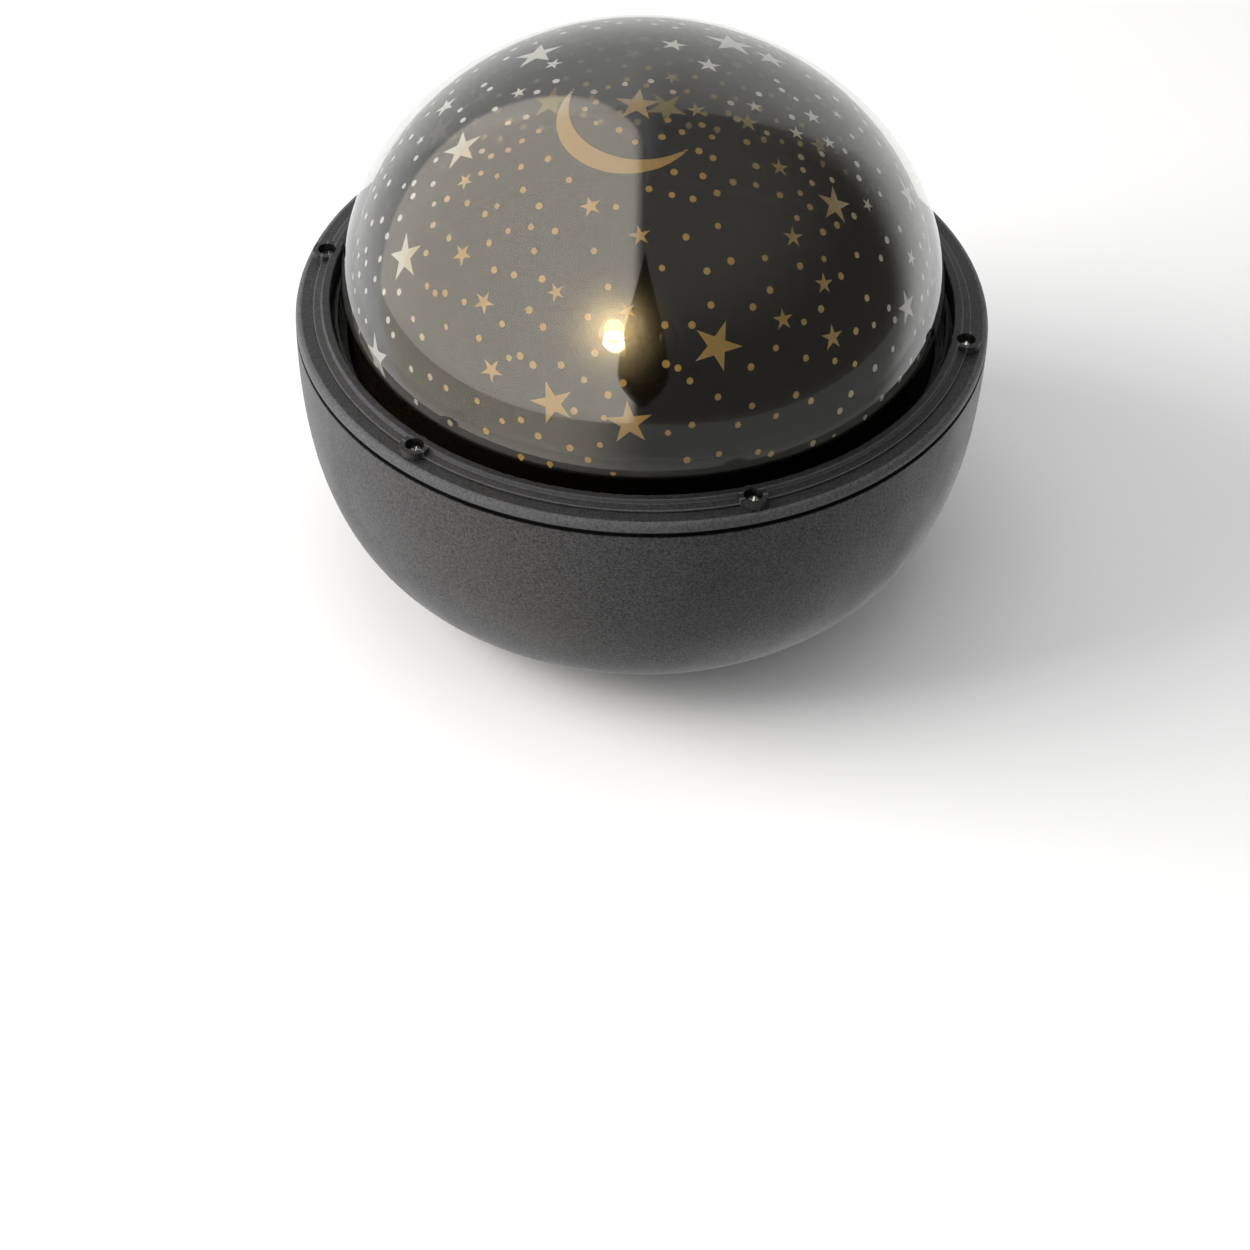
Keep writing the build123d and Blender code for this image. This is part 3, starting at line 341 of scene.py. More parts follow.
@dataclass(frozen=True)
class ShellPlastic:
    """The charcoal shell: spark-eroded treads and bowl, and a smoother rim band, with painted light and
    shade on the bezel: a painted lighter rim band, painted shade on the treads, inner steps and screw wells,
    painted highlights on the step edges and a painted shadow in the seam.

    The bezel's zones follow its radius and height, and the six wells follow the angle round Z.
    """

    name: str = "charcoal_grained_plastic"
    colour: Rgba = rgba(0.0318, 0.0321, 0.0349)
    roughness: float = 0.52
    grain: float = 1700.0
    grain_depth: float = 0.00007
    speckle: float = 0.75
    blur: float = 0.0001
    parting: float = 0.0690
    tread: float = 0.0811
    band: float = 0.0838
    edges: tuple[float, ...] = (0.0790, 0.0811)
    edge_width: float = 0.00034
    edge_level: float = 0.0719
    seam_low: float = 0.0679
    seam_wall: float = 0.0851
    well_circle: float = 0.08045
    well_radius: float = 0.00228
    wells: int = 6
    well_top: float = 0.0737
    band_painted_light: float = 0.85
    tread_painted_shade: float = -0.53
    steps_painted_shade: float = -0.61
    edge_painted_highlight: float = 4.6
    well_painted_shade: float = -0.85
    seam_painted_shadow: float = -0.92

    def in_well(self, g: Graph, x: Socket, y: Socket, radius: Socket) -> Socket:
        """Where a point lies inside the circle of the nearest screw well.

        Args:
            g: The material's tree.
            x: The place along X.
            y: The place along Y.
            radius: The distance from Z.

        Returns:
            1 inside a well, 0 outside.
        """
        offset = g.folded(x, y, 2 * math.pi / self.wells)
        across = g.times(radius, g.math("SINE", offset))
        along = g.minus(g.times(radius, g.math("COSINE", offset)), self.well_circle)
        return g.fall(g.far(across, along), self.well_radius, self.blur)

    def zones(self, g: Graph) -> list[tuple[Socket, float]]:
        """The shell's zones of painted light and shade: a lighter rim band, a darker tread and inner steps,
        painted highlights on the step edges, painted shade in the screw wells and a painted shadow in the
        seam.

        Args:
            g: The material's tree.

        Returns:
            Each zone's share, 1 inside and 0 outside, with the change of tone that paints its light or
            shade.
        """
        x, y, z = g.parts(g.place())
        radius = g.length(g.add("CombineXYZ", {0: x, 1: y, 2: 0.0}).outputs[0])
        on_bezel = g.ramp(z, self.parting - self.blur / 2, self.parting + self.blur / 2)
        # Rim band: painted light, a lighter tone on the rounded outer rim; its grain is also smoother.
        band = g.times(on_bezel, g.rise(radius, self.band, 4 * self.blur))
        # Tread and inner steps: painted shade, darker tones on the bezel's flats.
        outside = g.rise(radius, self.tread, 2 * self.blur)
        tread = g.times(on_bezel, outside, g.minus(1.0, band))
        steps = g.times(on_bezel, g.minus(1.0, outside))
        # Step edges: painted highlights, thin lighter lines along the two step edges.
        edge = 0.0
        for line in self.edges:
            away = g.math("ABSOLUTE", g.minus(radius, line))
            edge = g.math("MAXIMUM", edge, g.ramp(away, self.edge_width * 0.4, self.edge_width, 1.0, 0.0))
        edge = g.times(edge, on_bezel, g.rise(z, self.edge_level, 2 * self.blur))
        # Screw wells: painted shade inside each counterbore.
        well = g.times(self.in_well(g, x, y, radius), on_bezel, g.fall(z, self.well_top, self.blur))
        # Seam: painted shadow on the bowl in the groove under the bezel.
        in_seam = g.ramp(z, self.seam_low - self.blur / 5, self.seam_low)
        seam = g.times(in_seam, g.minus(1.0, on_bezel), g.fall(radius, self.seam_wall, self.blur))
        return [
            (band, self.band_painted_light),
            (tread, self.tread_painted_shade),
            (steps, self.steps_painted_shade),
            (edge, self.edge_painted_highlight),
            (well, self.well_painted_shade),
            (seam, self.seam_painted_shadow),
        ]

    def build(self) -> bpy.types.Material:
        """Build the material.

        Returns:
            A Principled material whose grain, and painted light and shade, change with the zone.
        """
        g = Graph(self.name)
        zones = self.zones(g)
        band, edge = zones[0][0], zones[3][0]
        fine = g.noise(self.grain, 3.0, 0.65)
        cloudy = g.noise(38.0, 3.0, 0.55)
        depth = g.times(g.minus(fine, 0.5), g.changed(band, -0.6))
        tone = g.ramp(depth, -0.18, 0.18, 1 - self.speckle, 1 + self.speckle)
        tone = g.times(tone, g.ramp(cloudy, 0.3, 0.7, 0.92, 1.08))
        # Painted highlight on the step edges: the grain is evened out there and the tone lifted.
        tone = g.math("ADD", g.times(tone, g.changed(edge, -0.7)), g.times(edge, 0.7))
        # Each zone's painted light or shade scales the tone.
        for zone, change in zones:
            tone = g.times(tone, g.changed(zone, change))
        colour = g.add("VectorMath", {0: self.colour[:3], 3: tone}, operation="SCALE").outputs[0]
        shader = g.principled(
            Base_Color=colour,
            Roughness=g.ramp(cloudy, 0.35, 0.65, self.roughness - 0.05, self.roughness + 0.05),
            Specular_IOR_Level=0.4,
            Normal=g.bump(fine, self.grain_depth),
        )
        return g.finish(shader.outputs[0])


@dataclass(frozen=True)
class Metal:
    """Plated or ground metal with fine brushing, a little tarnish and handling marks."""

    name: str
    colour: Rgba
    roughness: float = 0.25
    brush: float = 900.0
    tarnish: float = 0.25

    def build(self) -> bpy.types.Material:
        """Build the material.

        Returns:
            A metallic Principled material.
        """
        g = Graph(self.name)
        brushed = g.noise(self.brush, 2.0, 0.5)
        worn = g.noise(140.0, 3.0, 0.6)
        stain = g.ramp(worn, 0.45, 0.75, 0.0, self.tarnish)
        shader = g.principled(
            Base_Color=g.mix(stain, self.colour, scaled(self.colour, 0.45)),
            Metallic=1.0,
            Roughness=g.ramp(brushed, 0.3, 0.7, self.roughness * 0.7, self.roughness * 1.4),
            Normal=g.bump(brushed, 0.00001),
        )
        return g.finish(shader.outputs[0])


@dataclass(frozen=True)
class ClearCover:
    """Clear, faintly smoked acrylic: a thin wall that lets light straight through and mirrors the room.

    The outer skin carries the whole wall's gloss. The inner skin is the same plastic without it.
    """

    name: str = "smoked_cover_acrylic"
    tint: Rgba = rgba(0.90, 0.90, 0.88)
    polish: float = 0.012
    straight: float = 0.075
    grazing: float = 0.70
    bend: float = 4.0

    def build(self) -> bpy.types.Material:
        """Build the material.

        Returns:
            Tinted see-through and gloss, shared out by the angle of view.
        """
        g = Graph(self.name)
        dust = g.noise(1500.0, 2.0, 0.7)
        gloss = g.gloss(WHITE, g.ramp(dust, 0.55, 0.75, self.polish, self.polish * 2.5))
        share = g.thin_gloss(self.straight, self.grazing, self.bend)
        return g.finish(g.blend(share, g.clear(self.tint), gloss))


@dataclass(frozen=True)
class StarPrint:
    """The star dome's outer skin: dark see-through ink, windows lit amber from within, and a grey foot.

    The mesh's "window_edge" attribute is the distance to the nearest dot's or moon's edge in millimetres,
    below zero inside. Its "star_place" attribute holds a point's flat place in the nearest star, in that
    star's radii, and the radius in millimetres. "star_near" is that star's number, and 0 away from all.
    """

    name: str = "star_print"
    ink: Rgba = rgba(0.0025, 0.0025, 0.0023)
    ink_clearness: float = 0.28
    band: Rgba = rgba(0.085, 0.083, 0.078)
    band_low: float = 0.0760
    band_high: float = 0.0825
    foot_low: float = 0.0745
    foot_high: float = 0.0753
    amber: Rgba = rgba(0.95, 0.71, 0.31)
    frosting: Rgba = rgba(0.80, 0.80, 0.77)
    inner_share: float = 0.37
    tips: int = 5
    haze: float = 0.021
    haze_bend: float = 1.09
    edge_blur: float = 0.08
    grain: float = 1300.0

    def star(self, g: Graph) -> Socket:
        """Where a point lies inside the nearest star.

        The angle is folded into half of one arm, and the edge there is the straight line from the arm's tip
        to the notch beside it, so the distance is measured along that line's normal.

        Args:
            g: The material's tree.

        Returns:
            1 inside a star, 0 outside.
        """
        u, v, size = g.parts(g.add("Attribute", attribute_name="star_place").outputs["Vector"])
        near = g.add("Attribute", attribute_name="star_near").outputs["Fac"]
        sector = 2 * math.pi / self.tips
        folded = g.math("ABSOLUTE", g.folded(u, v, sector))
        reach = g.far(u, v)
        notch = self.inner_share * np.array([math.cos(sector / 2), math.sin(sector / 2)])
        edge = notch - np.array([1.0, 0.0])
        across, along = float(edge[1] / np.hypot(*edge)), float(-edge[0] / np.hypot(*edge))
        x = g.minus(g.times(reach, g.math("COSINE", folded)), 1.0)
        y = g.times(reach, g.math("SINE", folded))
        gap = g.math("ADD", g.times(x, across), g.times(y, along))
        inside = g.ramp(g.times(gap, size), -self.edge_blur, self.edge_blur, 1.0, 0.0)
        whole = g.math("COMPARE", near, g.math("ROUND", near), 0.0005)
        return g.times(inside, whole, g.math("GREATER_THAN", near, 0.5))

    def ink_shader(self, g: Graph, mottle: Socket, clear: Socket) -> Socket:
        """The see-through ink, a paler band round its foot and the black rim below that.

        Args:
            g: The material's tree.
            mottle: The print's fine noise.
            clear: The see-through shader.

        Returns:
            The ink's shader.
        """
        height = g.parts(g.place())[2]
        above_band = g.ramp(height, self.band_low, self.band_high)
        colour = g.mix(mottle, scaled(self.ink, 0.5), scaled(self.ink, 1.6))
        colour = g.mix(above_band, self.band, colour)
        colour = g.mix(g.ramp(height, self.foot_low, self.foot_high), BLACK, colour)
        clearness = g.ramp(mottle, 0.3, 0.7, self.ink_clearness * 1.15, self.ink_clearness * 0.85)
        return g.blend(g.times(clearness, above_band), g.matte(colour), clear)

    def pane_shader(self, g: Graph, mottle: Socket, clear: Socket) -> Socket:
        """A window's frosting: amber from the lamp seen straight on, and pale at a grazing angle.

        Args:
            g: The material's tree.
            mottle: The print's fine noise.
            clear: The see-through shader.

        Returns:
            The window's shader.
        """
        amber = g.mix(g.ramp(mottle, 0.3, 0.7, 0.0, 0.25), self.amber, scaled(self.amber, 0.7))
        frost = g.add("BsdfTranslucent", {0: amber}).outputs[0]
        pale = g.blend(0.55, clear, g.matte(self.frosting))
        return g.blend(g.ramp(g.facing(), 0.28, 0.50, 0.0, 0.94), frost, pale)

    def build(self) -> bpy.types.Material:
        """Build the material.

        Returns:
            Ink and windows, shared out by the attributes, under one gloss.
        """
        g = Graph(self.name)
        edge = g.add("Attribute", attribute_name="window_edge").outputs["Fac"]
        window = g.ramp(edge, -self.edge_blur, self.edge_blur, 1.0, 0.0)
        window = g.math("MAXIMUM", window, self.star(g))
        mottle = g.noise(self.grain, 3.0, 0.7)
        clear = g.clear()
        body = g.blend(window, self.ink_shader(g, mottle, clear), self.pane_shader(g, mottle, clear))
        scatter = g.add("BsdfRefraction", {"Color": WHITE, "Roughness": 1.0, "IOR": self.haze_bend})
        body = g.blend(self.haze, body, scatter.outputs[0])
        gloss = g.gloss(g.grey(g.ramp(mottle, 0.30, 0.70, 0.22, 0.78)), 0.08)
        return g.finish(g.blend(g.thin_gloss(0.08, 0.5), body, gloss))


@dataclass(frozen=True)
class ClearShell:
    """Clear plastic with hardly any gloss, for the skins behind another one."""

    name: str = "star_dome_plastic"
    tint: Rgba = rgba(0.96, 0.96, 0.95)
    straight: float = 0.0
    grazing: float = 0.1

    def build(self) -> bpy.types.Material:
        """Build the material.

        Returns:
            Nearly clear plastic with a little gloss.
        """
        g = Graph(self.name)
        haze = g.noise(60.0, 2.0, 0.5)
        gloss = g.gloss(WHITE, g.ramp(haze, 0.3, 0.7, 0.06, 0.14))
        return g.finish(g.blend(g.thin_gloss(self.straight, self.grazing), g.clear(self.tint), gloss))


@dataclass(frozen=True)
class Epoxy:
    """A diode's tinted epoxy, lit from within when it has a glow."""

    name: str
    colour: Rgba
    glow: float = 0.0
    clearness: float = 0.0
    glow_middle: float = 0.0578
    glow_reach: float = 0.0018

    def build(self) -> bpy.types.Material:
        """Build the material.

        Returns:
            Glossy tinted epoxy.
        """
        g = Graph(self.name)
        depth = g.noise(700.0, 2.0, 0.5)
        away = g.math("ABSOLUTE", g.minus(g.parts(g.place())[2], self.glow_middle))
        shader = g.principled(
            Base_Color=g.mix(g.ramp(depth, 0.3, 0.7), scaled(self.colour, 0.75), self.colour),
            Roughness=0.35,
            Specular_IOR_Level=0.25,
            Emission_Color=self.colour,
            Emission_Strength=g.ramp(away, 0.0, self.glow_reach, self.glow, self.glow * 0.008),
            Normal=g.bump(depth, 0.00002),
        )
        return g.finish(g.blend(self.clearness, shader.outputs[0], g.clear()))


@dataclass(frozen=True)
class LampSeatPaintedGlow:
    """Dark plastic round the bulbs with a painted glow: warm emission that fades out from the lit bulb,
    standing in for its light on the part.
    """

    name: str
    colour: Rgba = grey(0.005)
    glow: Rgba = rgba(1.0, 0.70, 0.30)
    strength: float = 1.3
    lamp: tuple[float, float, float] = (-0.007, 0.0, 0.0585)
    reach: float = 0.0042

    def build(self) -> bpy.types.Material:
        """Build the material.

        Returns:
            A dull Principled material with the painted glow in it.
        """
        g = Graph(self.name)
        fine = g.noise(2600.0, 3.0, 0.65)
        # Painted glow: emission that fades with distance from the lit bulb.
        painted_halo = g.painted_halo(self.lamp, self.reach, self.strength)
        shader = g.principled(
            Base_Color=g.mix(fine, scaled(self.colour, 0.6), scaled(self.colour, 1.4)),
            Roughness=g.ramp(fine, 0.3, 0.7, 0.6, 0.8),
            Specular_IOR_Level=0.15,
            Emission_Color=self.glow,
            Emission_Strength=g.times(painted_halo, g.ramp(fine, 0.3, 0.7, 0.9, 1.1)),
            Normal=g.bump(fine, 0.00002),
        )
        return g.finish(shader.outputs[0])


@dataclass(frozen=True)
class CircuitBoard:
    """Green solder mask over a lattice of copper tracks."""

    name: str = "circuit_board_green"
    mask: Rgba = rgba(0.012, 0.085, 0.03)
    copper: Rgba = rgba(0.05, 0.20, 0.06)
    lattice: float = 420.0

    def build(self) -> bpy.types.Material:
        """Build the material.

        Returns:
            Glossy mask with raised tracks from a stepped cell pattern.
        """
        g = Graph(self.name)
        inputs = {"Vector": g.place(), "Scale": self.lattice}
        cells = g.add("TexVoronoi", inputs, distance="CHEBYCHEV", feature="DISTANCE_TO_EDGE")
        track = g.fall(cells.outputs[0], 0.06, 0.06)
        grain = g.noise(3000.0, 2.0, 0.6)
        colour = g.mix(track, g.mix(grain, scaled(self.mask, 0.8), self.mask), self.copper)
        shader = g.principled(
            Base_Color=colour,
            Roughness=g.ramp(grain, 0.3, 0.7, 0.25, 0.4),
            Normal=g.bump(track, 0.00003),
        )
        return g.finish(shader.outputs[0])


@dataclass(frozen=True)
class CellJacket:
    """A battery cell's plain shrink jacket between its bare metal ends."""

    name: str = "battery_cell_jacket"
    jacket: Rgba = rgba(0.02, 0.16, 0.05)
    band: Rgba = rgba(0.55, 0.50, 0.40)
    metal: Rgba = grey(0.70)
    band_start: float = 0.0158
    jacket_end: float = 0.0238
    blur: float = 0.0002

    def build(self) -> bpy.types.Material:
        """Build the material.

        Returns:
            A jacket with one pale band, and metal past the ends of the jacket.
        """
        g = Graph(self.name)
        along = g.math("ABSOLUTE", g.parts(g.place())[1])
        bare = g.rise(along, self.jacket_end, self.blur)
        on_jacket = g.fall(along, self.jacket_end - self.blur, self.blur)
        band = g.times(g.rise(along, self.band_start, self.blur), on_jacket)
        scuff = g.noise(400.0, 3.0, 0.6)
        jacket = g.mix(g.ramp(scuff, 0.35, 0.7), scaled(self.jacket, 0.7), self.jacket)
        shader = g.principled(
            Base_Color=g.mix(bare, g.mix(band, jacket, self.band), self.metal),
            Metallic=bare,
            Roughness=g.ramp(scuff, 0.3, 0.7, 0.22, 0.4),
        )
        return g.finish(shader.outputs[0])


# ---------------------------------------------------------------- mesh tools


def mesh_piece(
    name: str,
    points: np.ndarray,
    quads: np.ndarray | list[list[int]],
    materials: Iterable[bpy.types.Material],
    slots: np.ndarray | None = None,
    smooth: bool = True,
) -> bpy.types.Object:
    """Make one object from points and quads.

    Args:
        name: The piece's name.
        points: Places in metres, one row each.
        quads: Corner indices, counter-clockwise from outside, as an array or as a list of mixed sizes.
        materials: The piece's materials, in the order of its slots.
        slots: The slot of each face, or None for the first.
        smooth: True for smooth shading.

    Returns:
        The object, linked to the scene.
    """
    mesh = bpy.data.meshes.new(name)
    if isinstance(quads, np.ndarray):
        mesh.vertices.add(len(points))
        mesh.vertices.foreach_set("co", points.astype(np.float32).ravel())
        mesh.loops.add(quads.size)
        mesh.loops.foreach_set("vertex_index", quads.astype(np.int32).ravel())
        mesh.polygons.add(len(quads))
        mesh.polygons.foreach_set("loop_start", np.arange(len(quads), dtype=np.int32) * quads.shape[1])
    else:
        mesh.from_pydata(points.tolist(), [], quads)
    for material in materials:
        mesh.materials.append(material)
    if slots is not None:
        mesh.polygons.foreach_set("material_index", slots.astype(np.int32))
    mesh.polygons.foreach_set("use_smooth", np.full(len(quads), smooth))
    mesh.update(calc_edges=True)
    mesh.validate()
    piece = bpy.data.objects.new(name, mesh)
    bpy.context.scene.collection.objects.link(piece)
    return piece


def steady_normals(piece: bpy.types.Object, rows: slice, normals: np.ndarray) -> None:
    """Give some points of a piece their exact normals and keep the others as they are.

    Args:
        piece: The piece.
        rows: Which points.
        normals: Unit normals, one row for each of them.
    """
    mesh = piece.data
    every = np.empty(len(mesh.vertices) * 3, np.float32)
    mesh.vertices.foreach_get("normal", every)
    every = every.reshape(-1, 3)
    every[rows] = normals
    mesh.normals_split_custom_set_from_vertices(every.tolist())


def grid_quads(rows: int, columns: int, start: int = 0, wrap: bool = False) -> np.ndarray:
    """Corner indices of the quads of a grid of points.

    Args:
        rows: Points along the first parameter.
        columns: Points along the second parameter.
        start: The index of the grid's first point.
        wrap: True when the last column joins the first.

    Returns:
        One row of four indices for each quad.
    """
    across = columns if wrap else columns - 1
    i, j = np.meshgrid(np.arange(rows - 1), np.arange(across), indexing="ij")
    after = (j + 1) % columns
    corners = [i * columns + j, i * columns + after, (i + 1) * columns + after, (i + 1) * columns + j]
    return np.stack(corners, -1).reshape(-1, 4) + start


def round_steps(steps: int) -> np.ndarray:
    """Angles of one full turn in equal steps."""
    return np.linspace(0, 2 * np.pi, steps, endpoint=False)


def lathe(name: str, profile: np.ndarray, material: bpy.types.Material, steps: int) -> bpy.types.Object:
    """Turn a profile about Z: each of its points sweeps a circle of its own radius.

    Args:
        name: The piece's name.
        profile: Rows of radius and height in metres, from the bottom up the outside.
        material: The piece's material.
        steps: Points round the circle.

    Returns:
        The object.
    """
    angle = round_steps(steps)
    radius, height = profile[:, :1], profile[:, 1:]
    ring = np.stack([radius * np.cos(angle), radius * np.sin(angle), height * np.ones_like(angle)], -1)
    return mesh_piece(name, ring.reshape(-1, 3), grid_quads(len(profile), steps, wrap=True), [material])


# ---------------------------------------------------------------- camera


@dataclass(frozen=True)
class StudioCamera:
    """The studio camera: where it stands, what it aims at and how long its lens is."""

    azimuth: float = 10.49
    elevation: float = 36.90
    distance: float = 0.8613
    aim_height: float = 0.0715
    focal_pixels: float = 3470.2
    frame_pixels: float = 1250.0
    roll: float = 1.68
    pan: float = -0.13
    tilt: float = -5.34
    sensor: float = 36.0

    def level_back(self) -> np.ndarray:
        """The direction from the aim to the eye, by the azimuth and elevation alone.

        Returns:
            A unit direction.
        """
        azimuth, elevation = math.radians(self.azimuth), math.radians(self.elevation)
        level = math.cos(elevation)
        return np.array([math.sin(azimuth) * level, -math.cos(azimuth) * level, math.sin(elevation)])

    @staticmethod
    def swung(first: np.ndarray, second: np.ndarray, degrees: float) -> tuple[np.ndarray, np.ndarray]:
        """Turn two square directions together, the first toward the second.

        Args:
            first: A unit direction.
            second: A unit direction square to it.
            degrees: How far they turn.

        Returns:
            The two directions after the turn.
        """
        near, far = math.cos(math.radians(degrees)), math.sin(math.radians(degrees))
        return first * near + second * far, second * near - first * far

    def axes(self) -> tuple[np.ndarray, np.ndarray, np.ndarray]:
        """The camera's own directions, found by turning the level camera by its tilt, pan and roll.

        Returns:
            Its right, up and backward directions.
        """
        azimuth = math.radians(self.azimuth)
        right, back = np.array([math.cos(azimuth), math.sin(azimuth), 0.0]), self.level_back()
        up, back = self.swung(np.cross(back, right), back, self.tilt)
        right, back = self.swung(right, back, self.pan)
        right, up = self.swung(right, up, self.roll)
        return right, up, back

    def eye(self) -> np.ndarray:
        """Where the camera stands."""
        return np.array([0.0, 0.0, self.aim_height]) + self.level_back() * self.distance

    def rays(self, pixels: np.ndarray) -> np.ndarray:
        """Directions from the eye through places in the frame, each a sum of the camera's own directions.

        Args:
            pixels: Rows of x and y in the frame, from its top left corner.

        Returns:
            Unit directions, one row each.
        """
        right, up, back = self.axes()
        offset = np.asarray(pixels, float) - self.frame_pixels / 2
        rays = offset[:, :1] * right - offset[:, 1:] * up - self.focal_pixels * back
        return rays / np.linalg.norm(rays, axis=1, keepdims=True)

    def build(self) -> bpy.types.Object:
        """Make the camera and give it to the scene.

        Returns:
            The camera object.
        """
        data = bpy.data.cameras.new("studio_camera")
        data.sensor_width = self.sensor
        data.lens = self.focal_pixels / self.frame_pixels * self.sensor
        data.clip_start, data.clip_end = 0.05, 40.0
        camera = bpy.data.objects.new("studio_camera", data)
        right, up, back = self.axes()
        matrix = np.eye(4)
        matrix[:3, 0], matrix[:3, 1], matrix[:3, 2], matrix[:3, 3] = right, up, back, self.eye()
        camera.matrix_world = Matrix(matrix.tolist())
        bpy.context.scene.collection.objects.link(camera)
        bpy.context.scene.camera = camera
        return camera


# ---------------------------------------------------------------- star dome


@dataclass(frozen=True)
class DomeShape:
    """A dome: an upright skirt under a quarter ellipse turned about Z."""

    radius: float
    rise: float
    plane: float
    foot: float

    def surface(self, share: np.ndarray, angle: np.ndarray) -> np.ndarray:
        """Points of the quarter ellipse: the radius falls as the cosine, the height grows as the sine.

        Args:
            share: 0 at the widest plane and 1 at the top.
            angle: Round Z, in radians.

        Returns:
            Places, with the last axis holding x, y and z.
        """
        climb, angle = np.broadcast_arrays(share * np.pi / 2, angle)
        level, height = self.radius * np.cos(climb), self.plane + self.rise * np.sin(climb)
        return np.stack([level * np.cos(angle), level * np.sin(angle), height], -1)

    def shrunk(self, wall: float) -> "DomeShape":
        """The dome's inner face, one wall further in."""
        return DomeShape(self.radius - wall, self.rise - wall, self.plane, self.foot)

    def normals(self, points: np.ndarray) -> np.ndarray:
        """Outward normals: each place from the centre, divided by the squares of the half axes.

        Args:
            points: Places on the ellipse, with the last axis holding x, y and z.

        Returns:
            Unit normals, in the same order.
        """
        scale = np.array([self.radius, self.radius, self.rise]) ** 2
        away = (points - np.array([0.0, 0.0, self.plane])) / scale
        return away / np.linalg.norm(away, axis=-1, keepdims=True)

    def hits(self, eye: np.ndarray, rays: np.ndarray) -> np.ndarray:
        """Where rays first meet the ellipsoid, by the smaller root of the scaled ray's squared length.

        Args:
            eye: Where the rays start.
            rays: Unit directions, one row each.

        Returns:
            Places on the dome; rays that miss give their nearest pass.
        """
        scale = np.array([self.radius, self.radius, self.rise])
        start, along = (eye - np.array([0.0, 0.0, self.plane])) / scale, rays / scale
        a, b, c = (along * along).sum(1), 2 * along @ start, start @ start - 1
        root = np.sqrt(np.maximum(b * b - 4 * a * c, 0.0))
        return eye + rays * ((-b - root) / (2 * a))[:, None]


